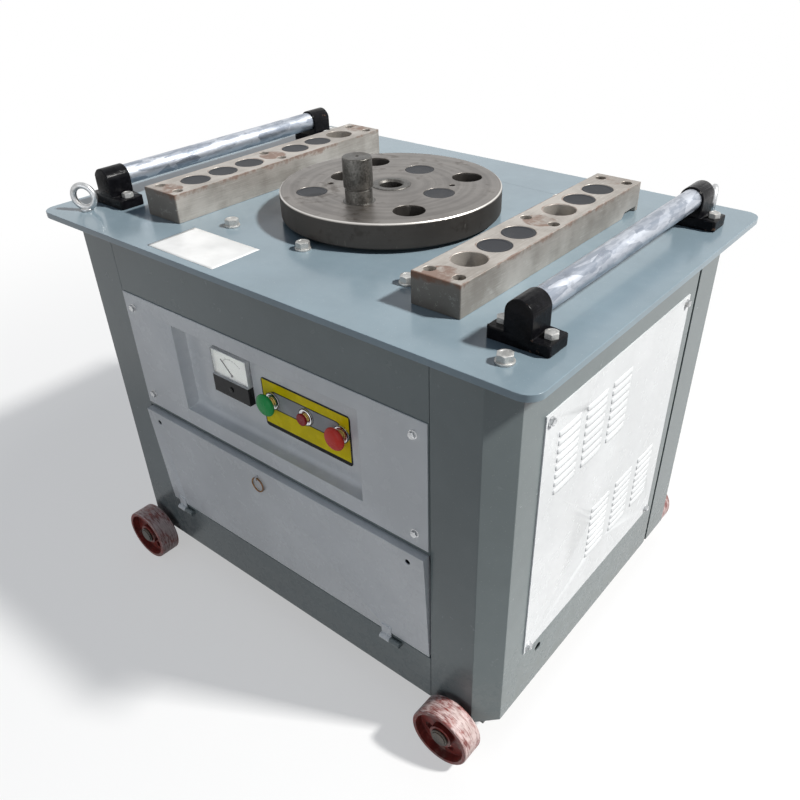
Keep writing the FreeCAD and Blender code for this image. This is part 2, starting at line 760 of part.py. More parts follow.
def bending_pin():
    """Bending pin: shank in the socket, neck, groove and head with a centre drill."""
    shank = SOCKET_DIAMETER / 2 - PIN_CLEARANCE
    neck = PIN_NECK_DIAMETER / 2
    head = PIN_HEAD_DIAMETER / 2
    groove_low = DISC_TOP + PIN_NECK_HEIGHT
    groove_high = groove_low + PIN_GROOVE
    top = DISC_TOP + PIN_HEIGHT
    drill = PIN_CENTRE_DRILL / 2
    foot = DISC_BOTTOM + SOCKET_FLOOR + PIN_FOOT_GAP
    return turned(
        [(0, foot), (shank, foot), (shank, DISC_TOP), (neck, DISC_TOP), (neck, groove_low),
         (head - PIN_GROOVE_DEPTH - 1, groove_low), (head - PIN_GROOVE_DEPTH - 1, groove_high),
         (head, groove_high), (head, top - 1), (head - 1, top), (drill, top), (0, top - drill)],
        "z", PIN_X, PIN_Y,
    )


def main_shaft():
    """Vertical shaft: journals, the flange that carries the disc and a pin bore."""
    journal = MAIN_JOURNAL / 2
    flange = SHAFT_FLANGE / 2
    bore = SLEEVE_BORE / 2
    low = GEARBOX_LOW - MAIN_BEARING_WIDTH + SHAFT_END_GAP
    flange_low = DISC_BOTTOM - SHAFT_FLANGE_THICK
    bottom = DISC_BOTTOM - SHAFT_BORE_DEPTH
    return turned(
        [(0, low), (journal, low), (journal, flange_low), (flange, flange_low), (flange, DISC_BOTTOM),
         (bore, DISC_BOTTOM), (bore, bottom), (0, bottom)],
        "z", 0, 0,
    )


def worm_wheel():
    """Worm wheel with its row of teeth, running clear of the worm."""
    tip = WORM_WHEEL_DIAMETER / 2 - TIP_CLEARANCE
    root = tip - TOOTH_DEPTH
    step = 360.0 / WORM_WHEEL_TEETH
    outline = []
    for k in range(WORM_WHEEL_TEETH):
        for share, radius in ((0.0, root), (0.25, root), (0.4, tip), (0.85, tip)):
            angle = math.radians((k + share) * step)
            outline.append((radius * math.cos(angle), radius * math.sin(angle)))
    low = WORM_Z - WORM_WHEEL_WIDTH / 2
    high = WORM_Z + WORM_WHEEL_WIDTH / 2
    return prism(outline, "z", low, high).cut(rod("z", 0, 0, low, high, MAIN_JOURNAL))


# --------------------------------------------------------------- gearbox group
def gearbox_housing():
    """Hollow casting: wheel chamber, worm tunnel, bearing seats and table flange."""
    chamber = WORM_WHEEL_DIAMETER + 2 * GEARBOX_ROOM
    outer = chamber + 2 * GEARBOX_WALL
    flange_low = TABLE_BOTTOM - GEARBOX_FLANGE
    edge = GEARBOX_FLANGE_EDGE
    reach = WORM_HALF + GEARBOX_WALL
    flange = box(
        GEARBOX_BOLT_X[0] - edge, GEARBOX_BOLT_X[-1] + edge, -GEARBOX_BOLT_Y - edge,
        GEARBOX_BOLT_Y + edge, flange_low, TABLE_BOTTOM,
    )
    body = rod("z", 0, 0, GEARBOX_LOW, flange_low, outer)
    tunnel = rod("x", WORM_OFFSET, WORM_Z, -reach, reach, TUNNEL_BORE + 2 * GEARBOX_WALL)
    roof = flange_low - MAIN_BEARING_WIDTH
    cuts = [
        rod("z", 0, 0, GEARBOX_LOW, roof - 2, chamber),
        rod("z", 0, 0, roof - 2, flange_low, MAIN_BEARING),
        rod("z", 0, 0, flange_low, TABLE_BOTTOM, MAIN_JOURNAL + 4),
        rod("x", WORM_OFFSET, WORM_Z, WORM_BEARING_WIDTH - WORM_HALF, WORM_HALF - WORM_BEARING_WIDTH, TUNNEL_BORE),
        rod("x", WORM_OFFSET, WORM_Z, -WORM_HALF, WORM_HALF, WORM_BEARING),
        rod("x", WORM_OFFSET, WORM_Z, -reach, -WORM_HALF, WORM_JOURNAL + 2),
    ]
    cuts += [rod("z", x, y, flange_low, TABLE_BOTTOM, BOLT_SHANK) for x, y in gearbox_bolt_places()]
    return less(join([flange, body, tunnel]), cuts)


def gearbox_cover():
    """Bottom cover with the seat of the lower shaft bearing."""
    outer = WORM_WHEEL_DIAMETER + 2 * (GEARBOX_ROOM + GEARBOX_WALL)
    boss = MAIN_BEARING + 2 * MAIN_BOSS_WALL
    low = GEARBOX_LOW - COVER_THICK
    plate = rod("z", 0, 0, low, GEARBOX_LOW, outer)
    seat = rod("z", 0, 0, low - MAIN_BEARING_WIDTH, low, boss)
    pocket = rod("z", 0, 0, low - MAIN_BEARING_WIDTH + COVER_THICK, GEARBOX_LOW, MAIN_BEARING)
    return join([plate, seat]).cut(pocket)


def gearbox_bearings():
    """Two shaft bearings and two worm bearings, as plain rings."""
    roof = TABLE_BOTTOM - GEARBOX_FLANGE - MAIN_BEARING_WIDTH
    main_bore = MAIN_JOURNAL + 2 * BEARING_CLEARANCE
    worm_bore = WORM_JOURNAL + 2 * BEARING_CLEARANCE
    rings = [
        tube("z", 0, 0, roof, roof + MAIN_BEARING_WIDTH, MAIN_BEARING, main_bore),
        tube("z", 0, 0, GEARBOX_LOW - MAIN_BEARING_WIDTH, GEARBOX_LOW, MAIN_BEARING, main_bore),
    ]
    for low in (-WORM_HALF, WORM_HALF - WORM_BEARING_WIDTH):
        rings.append(tube("x", WORM_OFFSET, WORM_Z, low, low + WORM_BEARING_WIDTH, WORM_BEARING, worm_bore))
    return group(rings)


def worm_shaft():
    """Worm with its thread form, its journals and the end that carries the pulley."""
    tip = WORM_DIAMETER / 2 - TIP_CLEARANCE / 2
    root = tip - WORM_THREAD
    journal = WORM_JOURNAL / 2
    start = -WORM_TURNS * WORM_GROOVE_PITCH / 2
    left = PULLEY_X - PULLEY_WIDTH / 2
    profile = [(0, left), (journal, left), (journal, start)]
    for k in range(WORM_TURNS):
        low = start + k * WORM_GROOVE_PITCH
        for share, radius in ((0.0, tip), (0.4, tip), (0.55, root), (0.85, root)):
            profile.append((radius, low + share * WORM_GROOVE_PITCH))
    right = start + WORM_TURNS * WORM_GROOVE_PITCH
    profile += [(tip, right), (tip, right + 2), (journal, right + 2), (journal, WORM_HALF - 1), (0, WORM_HALF - 1)]
    return turned(profile, "x", WORM_OFFSET, WORM_Z)


# -------------------------------------------------------------- motor and belts
def belt_centres():
    """Middle of each belt along the shafts."""
    first = PULLEY_X - (BELT_COUNT - 1) * BELT_PITCH / 2
    return [first + k * BELT_PITCH for k in range(BELT_COUNT)]


def grooved_pulley(pitch, bore, z):
    """Pulley with one V groove to each belt."""
    rim = pitch / 2 + PULLEY_RIM_ABOVE
    bottom = rim - GROOVE_DEPTH
    left = PULLEY_X - PULLEY_WIDTH / 2
    right = PULLEY_X + PULLEY_WIDTH / 2
    profile = [(bore / 2, left), (rim, left)]
    for x in belt_centres():
        top_half = GROOVE_WIDTH / 2 + 2
        low_half = GROOVE_WIDTH / 2
        profile += [(rim, x - top_half), (bottom, x - low_half), (bottom, x + low_half), (rim, x + top_half)]
    profile += [(rim, right), (bore / 2, right)]
    return turned(profile, "x", WORM_OFFSET, z)


def large_pulley():
    """Large pulley on the worm shaft, dished on its outer side."""
    pulley = grooved_pulley(LARGE_PULLEY_PITCH, WORM_JOURNAL, WORM_Z)
    left = PULLEY_X - PULLEY_WIDTH / 2
    rim_bore = LARGE_PULLEY_PITCH - 40
    dish = tube("x", WORM_OFFSET, WORM_Z, left, left + PULLEY_WIDTH / 3, rim_bore, WORM_JOURNAL + 30)
    return pulley.cut(dish)


def belt_loop(x, small, large, thickness):
    """Band around both pulleys; small and large are its inner radii."""
    span = WORM_Z - MOTOR_Z
    lean = math.asin((large - small) / span)
    loops = []
    for extra in (thickness, 0.0):
        points = []
        for centre, radius, start in ((WORM_Z, large, -lean), (MOTOR_Z, small, math.pi + lean)):
            sweep = math.pi + 2 * lean if centre == WORM_Z else math.pi - 2 * lean
            arc = []
            for share in (0.0, 0.5, 1.0):
                angle = start + share * sweep
                arc.append(V(x, WORM_OFFSET + (radius + extra) * math.cos(angle),
                             centre + (radius + extra) * math.sin(angle)))
            points.append(arc)
        edges = [
            Part.Arc(*points[0]).toShape(),
            Part.LineSegment(points[0][2], points[1][0]).toShape(),
            Part.Arc(*points[1]).toShape(),
            Part.LineSegment(points[1][2], points[0][0]).toShape(),
        ]
        loops.append(Part.Face(Part.Wire(edges)))
    ring = loops[0].extrude(V(BELT_WIDTH, 0, 0)).cut(loops[1].extrude(V(BELT_WIDTH, 0, 0)))
    return ring


def v_belts():
    """Drive belts between the motor and the worm shaft."""
    sink = PULLEY_RIM_ABOVE - GROOVE_DEPTH + BELT_SEAT
    small = SMALL_PULLEY_PITCH / 2 + sink
    large = LARGE_PULLEY_PITCH / 2 + sink
    return group([belt_loop(x - BELT_WIDTH / 2, small, large, BELT_HEIGHT) for x in belt_centres()])


def motor_body():
    """Finned motor frame with its end shields and feet."""
    outer = MOTOR_DIAMETER / 2
    root = outer - MOTOR_FIN_HEIGHT
    step = 360.0 / MOTOR_FINS
    outline = []
    for k in range(MOTOR_FINS):
        for share, radius in ((0.0, root), (0.6, root), (0.65, outer), (0.95, outer)):
            angle = math.radians((k + share) * step)
            outline.append((WORM_OFFSET + radius * math.cos(angle), MOTOR_Z + radius * math.sin(angle)))
    frame = prism(outline, "x", MOTOR_LEFT + MOTOR_SHIELD, MOTOR_RIGHT - MOTOR_SHIELD)
    shields = [
        rod("x", WORM_OFFSET, MOTOR_Z, MOTOR_LEFT, MOTOR_LEFT + MOTOR_SHIELD, MOTOR_DIAMETER),
        rod("x", WORM_OFFSET, MOTOR_Z, MOTOR_RIGHT - MOTOR_SHIELD, MOTOR_RIGHT, MOTOR_DIAMETER),
    ]
    base = MOTOR_Z - outer
    reach = MOTOR_RAIL_X + MOTOR_RAIL_WIDTH / 2
    foot = box(
        -reach, reach, WORM_OFFSET - MOTOR_FOOT_SPREAD / 2, WORM_OFFSET + MOTOR_FOOT_SPREAD / 2,
        base, base + MOTOR_FOOT_THICK,
    )
    shaft_bore = MOTOR_SHAFT + 2 * BEARING_CLEARANCE
    cuts = [
        rod("x", WORM_OFFSET, MOTOR_Z, MOTOR_LEFT + MOTOR_SHIELD, MOTOR_RIGHT - MOTOR_SHIELD, STATOR_BORE),
        rod("x", WORM_OFFSET, MOTOR_Z, MOTOR_LEFT, MOTOR_RIGHT, shaft_bore),
    ]
    return less(join([frame, foot] + shields), cuts)


def motor_rotor():
    """Rotor, its shaft and the cooling fan on its free end."""
    core = STATOR_BORE / 2 - ROTOR_GAP
    shaft = MOTOR_SHAFT / 2
    left = PULLEY_X - PULLEY_WIDTH / 2
    inner = MOTOR_SHIELD + 20
    fan_low = MOTOR_RIGHT + 12
    return turned(
        [(0, left), (shaft, left), (shaft, MOTOR_LEFT + inner), (core, MOTOR_LEFT + inner),
         (core, MOTOR_RIGHT - inner), (shaft, MOTOR_RIGHT - inner), (shaft, fan_low),
         (FAN_DIAMETER / 2, fan_low), (FAN_DIAMETER / 2, fan_low + FAN_THICK), (0, fan_low + FAN_THICK)],
        "x", WORM_OFFSET, MOTOR_Z,
    )


def motor_fan_cover():
    """Pressed cover over the fan, with ring slots in its end."""
    outer = MOTOR_DIAMETER
    end = MOTOR_RIGHT + FAN_COVER_LENGTH
    inside = outer - 2 * FAN_COVER_SHEET
    shell = rod("x", WORM_OFFSET, MOTOR_Z, MOTOR_RIGHT, end, outer)
    shell = shell.cut(rod("x", WORM_OFFSET, MOTOR_Z, MOTOR_RIGHT, end - FAN_COVER_SHEET, inside))
    slots = []
    for turn in range(0, 360, 45):
        slot = box(end - 2 * FAN_COVER_SHEET, end + 1, WORM_OFFSET + 25, WORM_OFFSET + 75, MOTOR_Z - 5, MOTOR_Z + 5)
        slots.append(slot.rotated(V(0, WORM_OFFSET, MOTOR_Z), AXES["x"], turn))
    return less(shell, slots)


def motor_terminal_box():
    """Terminal box seated on the motor frame."""
    top = MOTOR_Z + MOTOR_DIAMETER / 2
    block = box(
        -TERMINAL_LENGTH / 2, TERMINAL_LENGTH / 2, WORM_OFFSET - TERMINAL_WIDTH / 2,
        WORM_OFFSET + TERMINAL_WIDTH / 2, top - 10, top + TERMINAL_HEIGHT,
    )
    return block.cut(rod("x", WORM_OFFSET, MOTOR_Z, -TERMINAL_LENGTH, TERMINAL_LENGTH, MOTOR_DIAMETER))


def motor_base():
    """Two slide rails that carry the motor and set the belt tension."""
    rails = []
    high = MOTOR_Z - MOTOR_DIAMETER / 2
    for x in (-MOTOR_RAIL_X, MOTOR_RAIL_X):
        rails.append(box(
            x - MOTOR_RAIL_WIDTH / 2, x + MOTOR_RAIL_WIDTH / 2, WORM_OFFSET - MOTOR_RAIL_LENGTH / 2,
            WORM_OFFSET + MOTOR_RAIL_LENGTH / 2, FLOOR_TOP, high,
        ))
    return group(rails)


# ---------------------------------------------------------------- cabinet group
def axle_notch(y0, y1):
    """Clearance for both axles through an upright sheet."""
    width = AXLE_BODY / 2 + AXLE_NOTCH_GAP
    return [
        box(x - width, x + width, y0, y1, CABINET_BOTTOM - 1, WHEEL_Z + width)
        for x in (-WHEEL_X, WHEEL_X)
    ]


def side_wall(holes):
    """Right side wall folded with its front corner post, with the vent window."""
    path = [
        (HALF_FRONT + SEAM, FRONT + JAMB_DEPTH),
        (HALF_FRONT + SEAM, FRONT),
        (HALF_LENGTH - CORNER_CHAMFER, FRONT),
        (HALF_LENGTH, FRONT + CORNER_CHAMFER),
        (HALF_LENGTH, SIDE_END),
        (HALF_LENGTH - SIDE_RETURN, SIDE_END),
    ]
    wall = folded(path, SHEET, CABINET_BOTTOM, TABLE_BOTTOM)
    outside = HALF_LENGTH + 1
    inside = HALF_LENGTH - SHEET - 1
    window = box(
        inside, outside, VENT_PANEL_FRONT + WINDOW_EDGE, VENT_PANEL_REAR - WINDOW_EDGE,
        VENT_PANEL_LOW + WINDOW_EDGE, VENT_PANEL_HIGH - WINDOW_EDGE,
    )
    shanks = shank_holes(vent_bolt_places(), "x", HALF_LENGTH - SHEET, HALF_LENGTH)
    return less(wall, [window] + shanks + axle_notch(FRONT - 1, FRONT + SHEET + 1) + holes)


def right_side_wall():
    """Right wall, with the hole for the supply cable."""
    cable = rod("x", CABLE_HOLE_Y, CABLE_HOLE_Z, HALF_LENGTH - SHEET, HALF_LENGTH, CABLE_HOLE)
    return side_wall([cable])


def left_side_wall():
    """Mirror of the right wall, without the cable hole."""
    return mirrored_x(side_wall([]))


def rear_frame():
    """Rear sheet folded round both rear corners, with the service window."""
    start = SIDE_END + SIDE_GAP
    path = [(HALF_LENGTH, start), (HALF_LENGTH, REAR), (-HALF_LENGTH, REAR), (-HALF_LENGTH, start)]
    sheet = folded(path, SHEET, CABINET_BOTTOM, TABLE_BOTTOM)
    edge = REAR_WINDOW_EDGE
    window = box(
        edge - HALF_LENGTH, HALF_LENGTH - edge, REAR - SHEET - 1, REAR + 1,
        CABINET_BOTTOM + edge, TABLE_BOTTOM - edge,
    )
    shanks = shank_holes(rear_bolt_places(), "y", REAR - SHEET, REAR)
    return less(sheet, [window] + shanks + axle_notch(REAR - SHEET - 1, REAR + 1))


def rear_panel():
    """Flat cover screwed over the service window."""
    edge = REAR_WINDOW_EDGE - REAR_PANEL_LAP
    panel = box(
        edge - HALF_LENGTH, HALF_LENGTH - edge, REAR, REAR + PANEL_SHEET,
        CABINET_BOTTOM + edge, TABLE_BOTTOM - edge,
    )
    return less(panel, shank_holes(rear_bolt_places(), "y", REAR, REAR + PANEL_SHEET))


def front_top_rail():
    """Front sheet behind the control panel, open behind the niche."""
    low = DOOR_HIGH + DOOR_GAP
    sheet = box(-HALF_FRONT, HALF_FRONT, FRONT, FRONT + SHEET, low, TABLE_BOTTOM)
    lip = box(-HALF_FRONT, HALF_FRONT, FRONT, FRONT + JAMB_DEPTH, low, low + SHEET)
    room = NICHE_FRAME_GAP
    window = box(
        -NICHE_LENGTH / 2 - room, NICHE_LENGTH / 2 + room, FRONT - 1, FRONT + SHEET + 1,
        NICHE_LOW - room, NICHE_HIGH + room,
    )
    shanks = shank_holes(control_bolt_places(), "y", FRONT, FRONT + SHEET)
    return less(join([sheet, lip]), [window] + shanks)


def front_bottom_rail():
    """Front rail below the door, with a lip behind the door's lower edge."""
    high = DOOR_LOW - DOOR_GAP
    sheet = box(-HALF_FRONT, HALF_FRONT, FRONT, FRONT + SHEET, CABINET_BOTTOM, high)
    lip = box(-HALF_FRONT, HALF_FRONT, FRONT, FRONT + JAMB_DEPTH, high - SHEET, high)
    return join([sheet, lip])


def floor_plate():
    """Floor of the cabinet, inside the walls."""
    x = HALF_LENGTH - SHEET
    post = HALF_LENGTH - CORNER_CHAMFER
    front = FRONT + SHEET
    rear = REAR - SHEET
    bend = SHEET * (math.sqrt(2) - 1)
    side = FRONT + CORNER_CHAMFER
    jamb = HALF_FRONT + SEAM + SHEET
    deep = FRONT + JAMB_DEPTH
    notch_in = x - SIDE_RETURN
    half = [
        (0, front), (HALF_FRONT - 1, front), (HALF_FRONT - 1, deep), (jamb, deep), (jamb, front),
        (post - bend, front), (x, side + bend), (x, SIDE_END - SHEET), (notch_in, SIDE_END - SHEET),
        (notch_in, SIDE_END + SIDE_GAP), (x, SIDE_END + SIDE_GAP), (x, rear), (0, rear),
    ]
    right = prism(half, "z", FLOOR_TOP - FLOOR_THICK, FLOOR_TOP)
    return join([right, mirrored_x(right)])


def vent_panel(side):
    """Screwed side panel with six columns of vent slots."""
    x0, x1 = sorted((side * HALF_LENGTH, side * (HALF_LENGTH + PANEL_SHEET)))
    panel = box(x0, x1, VENT_PANEL_FRONT, VENT_PANEL_REAR, VENT_PANEL_LOW, VENT_PANEL_HIGH)
    slots = shank_holes(vent_bolt_places(), "x", x0, x1)
    half = VENT_SLOT_LENGTH / 2
    for first, pitch, low in (
        (UPPER_VENT_FIRST, UPPER_VENT_PITCH, UPPER_VENT_LOW),
        (LOWER_VENT_FIRST, LOWER_VENT_PITCH, LOWER_VENT_LOW),
    ):
        for column in range(VENT_COLUMNS):
            y = first + column * pitch
            for row in range(VENT_SLOTS):
                z = low + row * VENT_PITCH
                slots.append(box(x0 - 1, x1 + 1, y - half, y + half, z, z + VENT_SLOT_HEIGHT))
    return less(panel, slots)


def vent_bolt_places():
    """Bolt places of a side vent panel, as (y, z)."""
    inset = PANEL_BOLT_INSET
    return [
        (y, z) for y in (VENT_PANEL_FRONT + inset, VENT_PANEL_REAR - inset)
        for z in (VENT_PANEL_LOW + inset, VENT_PANEL_HIGH - inset)
    ]


def rear_bolt_places():
    """Bolt places of the rear panel, as (x, z)."""
    edge = REAR_WINDOW_EDGE - REAR_PANEL_LAP / 2
    return [
        (x, z) for x in (edge - HALF_LENGTH, HALF_LENGTH - edge)
        for z in (CABINET_BOTTOM + edge, TABLE_BOTTOM - edge)
    ]


def control_bolt_places():
    """Bolt places of the control panel, as (x, z)."""
    inset = CONTROL_BOLT_INSET
    return [
        (x, z) for x in (-CONTROL_BOLT_X, CONTROL_BOLT_X)
        for z in (CONTROL_LOW + inset, CONTROL_HIGH - inset)
    ]


def shank_holes(places, axis, low, high):
    """Holes for panel bolts through a sheet that lies between low and high."""
    return [rod(axis, a, b, low, high, PANEL_BOLT_SHANK) for a, b in places]


def panel_bolts():
    """Bolts and washers of the side, rear and control panels."""
    bolts = []
    for side in (-1, 1):
        for y, z in vent_bolt_places():
            bolts.append(panel_bolt(y, z, side * (HALF_LENGTH + PANEL_SHEET), "x", side))
    for x, z in rear_bolt_places():
        bolts.append(panel_bolt(x, z, REAR + PANEL_SHEET, "y", 1))
    for x, z in control_bolt_places():
        bolts.append(panel_bolt(x, z, FRONT - PANEL_SHEET, "y", -1))
    return group(bolts)


# --------------------------------------------------------------- control group
def button_xs():
    """Middle of each button along the panel."""
    return [BUTTON_FIRST_X + k * BUTTON_PITCH for k in range(3)]


def control_panel():
    """Folded control panel with its recessed niche and the instrument holes."""
    face = FRONT - PANEL_SHEET
    plate = box(
        PANEL_GAP - HALF_FRONT, HALF_FRONT - PANEL_GAP, face, FRONT, CONTROL_LOW, CONTROL_HIGH,
    )
    half = NICHE_LENGTH / 2
    outer = box(
        -half - PANEL_SHEET, half + PANEL_SHEET, face, NICHE_BACK + PANEL_SHEET,
        NICHE_LOW - PANEL_SHEET, NICHE_HIGH + PANEL_SHEET,
    )
    bend_edges = [
        edge for edge in outer.Edges
        if edge.BoundBox.ZMax < NICHE_LOW and edge.BoundBox.YMin > NICHE_BACK and edge.BoundBox.XLength > 1
    ]
    outer = outer.makeFillet(NICHE_BEND + PANEL_SHEET, bend_edges)
    inner = box(-half, half, face - 1, NICHE_BACK, NICHE_LOW, NICHE_HIGH)
    bend_edges = [
        edge for edge in inner.Edges
        if edge.BoundBox.ZMax < NICHE_LOW + 1 and edge.BoundBox.YMin > NICHE_BACK - 1 and edge.BoundBox.XLength > 1
    ]
    inner = inner.makeFillet(NICHE_BEND, bend_edges)
    back = NICHE_BACK - 1
    behind = NICHE_BACK + PANEL_SHEET + 1
    holes = [rod("y", x, BUTTON_Z, back, behind, BUTTON_HOLE) for x in button_xs()]
    holes.append(rod("y", METER_X, METER_Z, back, behind, METER_BARREL + 1))
    holes += shank_holes(control_bolt_places(), "y", face, FRONT)
    return less(join([plate, outer]).cut(inner), holes)


def button_plate():
    """Thin label plate under the three buttons."""
    plate = rounded_plate(
        PLATE_X - PLATE_LENGTH / 2, PLATE_X + PLATE_LENGTH / 2, NICHE_BACK - PLATE_THICK, NICHE_BACK,
        PLATE_Z - PLATE_HEIGHT / 2, PLATE_Z + PLATE_HEIGHT / 2, PLATE_CORNER, "y",
    )
    holes = [rod("y", x, BUTTON_Z, NICHE_BACK - PLATE_THICK, NICHE_BACK, BUTTON_HOLE) for x in button_xs()]
    return less(plate, holes)


def button_bodies():
    """Collar, barrel and contact block of each button."""
    bodies = []
    seat = NICHE_BACK - PLATE_THICK
    behind = NICHE_BACK + PANEL_SHEET
    collar_face = seat - BUTTON_COLLAR_THICK
    bore_end = behind + BUTTON_STEM_DEPTH
    for x in button_xs():
        collar = rod("y", x, BUTTON_Z, collar_face, seat, BUTTON_COLLAR)
        barrel = rod("y", x, BUTTON_Z, seat, behind, BUTTON_BARREL)
        block = box(
            x - BUTTON_BLOCK_WIDTH / 2, x + BUTTON_BLOCK_WIDTH / 2, behind, behind + BUTTON_BLOCK_LENGTH,
            BUTTON_Z - BUTTON_BLOCK_HEIGHT / 2, BUTTON_Z + BUTTON_BLOCK_HEIGHT / 2,
        )
        bore = BUTTON_STEM + 2 * BUTTON_STEM_CLEARANCE
        bodies.append(join([collar, barrel, block]).cut(rod("y", x, BUTTON_Z, collar_face, bore_end, bore)))
    return group(bodies)


def mushroom_button(index):
    """Mushroom head on its stem."""
    x = button_xs()[index]
    front = NICHE_BACK - MUSHROOM_FRONT
    radius = MUSHROOM_DIAMETER / 2
    stem = BUTTON_STEM / 2
    back = front + MUSHROOM_THICK
    profile = [(0, front), (radius * 0.5, front + 0.8), (radius * 0.82, front + 2.6), (radius, front + 6),
               (radius - 1, back - 1), (radius * 0.7, back), (stem, back), (stem, NICHE_BACK), (0, NICHE_BACK)]
    return turned(profile, "y", x, BUTTON_Z)


def small_button():
    """Small push button between the two mushroom heads."""
    x = button_xs()[1]
    front = NICHE_BACK - SMALL_FRONT
    radius = SMALL_HEAD / 2
    stem = BUTTON_STEM / 2
    back = front + SMALL_THICK - BUTTON_COLLAR_THICK
    profile = [(0, front), (radius * 0.75, front + 0.5), (radius, front + 2), (radius, back), (stem, back),
               (stem, NICHE_BACK), (0, NICHE_BACK)]
    return turned(profile, "y", x, BUTTON_Z)


def voltmeter_case():
    """Meter case: dial pocket above, raised cover below, barrel behind."""
    front = NICHE_BACK - METER_THICK
    left = METER_X - METER_WIDTH / 2
    right = METER_X + METER_WIDTH / 2
    low = METER_Z - METER_HEIGHT / 2
    high = METER_Z + METER_HEIGHT / 2
    sill = high - METER_RIM - METER_WINDOW_HEIGHT
    case = box(left, right, front, NICHE_BACK, low, high)
    cover = box(left, right, front - METER_COVER_PROUD, front, low, sill - METER_RIM / 2)
    barrel = rod("y", METER_X, METER_Z, NICHE_BACK, NICHE_BACK + METER_BARREL_LENGTH, METER_BARREL)
    pocket = box(
        left + METER_RIM, right - METER_RIM, front, front + METER_DIAL_DEPTH, sill, high - METER_RIM,
    )
    return join([case, cover, barrel]).cut(pocket)


def voltmeter_window():
    """Clear window let into the mouth of the dial pocket."""
    front = NICHE_BACK - METER_THICK
    high = METER_Z + METER_HEIGHT / 2 - METER_RIM
    return box(
        METER_X - METER_WIDTH / 2 + METER_RIM, METER_X + METER_WIDTH / 2 - METER_RIM,
        front, front + METER_GLASS, high - METER_WINDOW_HEIGHT, high,
    )


def voltmeter_needle():
    """Pointer on its hub, lying at the zero end of the dial."""
    z = METER_Z + METER_HEIGHT / 2 - METER_RIM - METER_WINDOW_HEIGHT / 2 - NEEDLE_PIVOT_DROP
    floor = NICHE_BACK - METER_THICK + METER_DIAL_DEPTH
    back = floor - 0.3
    front = back - NEEDLE_THICK
    pointer = box(METER_X - NEEDLE_WIDTH / 2, METER_X + NEEDLE_WIDTH / 2, front, back, z, z + NEEDLE_LENGTH)
    hub = rod("y", METER_X, z, front - 1, back, NEEDLE_HUB)
    return join([pointer, hub]).rotated(V(METER_X, 0, z), AXES["y"], -NEEDLE_REST)


# ------------------------------------------------------------------ front door
def front_door():
    """Tilting door: face, folded top and side flanges, hinge knuckles and staple."""
    half = HALF_FRONT - DOOR_GAP
    back = FRONT + DOOR_FLANGE
    face = box(-half, half, FRONT, FRONT + DOOR_SHEET, DOOR_LOW, DOOR_HIGH)
    top = box(-half, half, FRONT, back, DOOR_HIGH - DOOR_SHEET, DOOR_HIGH)
    left = box(-half, DOOR_SHEET - half, FRONT, back, DOOR_LOW, DOOR_HIGH)
    right = box(half - DOOR_SHEET, half, FRONT, back, DOOR_LOW, DOOR_HIGH)
    holes = [
        rod("y", x, DOOR_HIGH - DOOR_HOLE_INSET, FRONT, FRONT + DOOR_SHEET, DOOR_HOLE)
        for x in (30 - half, half - 30)
    ]
    pan = less(join([face, top, left, right]), holes)
    bore = HINGE_PIN + 2 * HINGE_CLEARANCE
    pieces = [pan]
    for x in HINGE_XS:
        low = x - HINGE_LENGTH / 2
        strap = FRONT - HINGE_STRAP_GAP - DOOR_SHEET
        tab = join([
            box(low, low + HINGE_LENGTH, strap, strap + DOOR_SHEET, HINGE_Z, DOOR_LOW + HINGE_LAP),
            box(low, low + HINGE_LENGTH, strap, FRONT, DOOR_LOW + DOOR_SHEET, DOOR_LOW + HINGE_LAP),
        ])
        knuckle = rod("x", HINGE_Y, HINGE_Z, low, low + HINGE_LENGTH, HINGE_KNUCKLE)
        shut = join([tab, knuckle]).cut(rod("x", HINGE_Y, HINGE_Z, low, low + HINGE_LENGTH, bore))
        pieces.append(shut)
    return about_hinge(join(pieces + staple()))


def staple():
    """U of wire standing out of the door: two legs and the bend between them."""
    reach = (STAPLE_DIAMETER - STAPLE_WIRE) / 2
    start = Part.makeCircle(STAPLE_WIRE / 2, STAPLE + V(0, 0, reach), AXES["y"])
    bend = Part.Face(Part.Wire([start])).revolve(STAPLE, AXES["x"], 180)
    legs = [
        rod("y", RING_X, STAPLE.z + side * reach, STAPLE.y, FRONT + DOOR_SHEET / 2, STAPLE_WIRE)
        for side in (-1, 1)
    ]
    return [bend] + legs


def pull_ring():
    """Wire ring hanging plumb in the staple of the door."""
    inside = STAPLE_DIAMETER / 2 - STAPLE_WIRE
    hung = about_hinge(Part.Vertex(STAPLE)).Point - V(0, 0, inside - RING_WIRE / 2 - RING_GAP)
    centre = hung - V(0, 0, (RING_DIAMETER - RING_WIRE) / 2)
    return wire_ring(centre, AXES["y"], RING_DIAMETER, RING_WIRE)


def door_hinges():
    """Fixed knuckles of the front rail, each with its hinge pin."""
    pieces = []
    for x in HINGE_XS:
        low = x + HINGE_LENGTH / 2 + HINGE_SIDE_GAP
        high = low + HINGE_LENGTH
        knuckle = rod("x", HINGE_Y, HINGE_Z, low, high, HINGE_KNUCKLE)
        lug = box(low, high, HINGE_Y, FRONT, HINGE_Z - HINGE_KNUCKLE / 2, HINGE_Z + 2)
        pin = rod("x", HINGE_Y, HINGE_Z, low - HINGE_LENGTH - HINGE_SIDE_GAP, high, HINGE_PIN)
        pieces.append(join([knuckle, lug, pin]))
    return group(pieces)


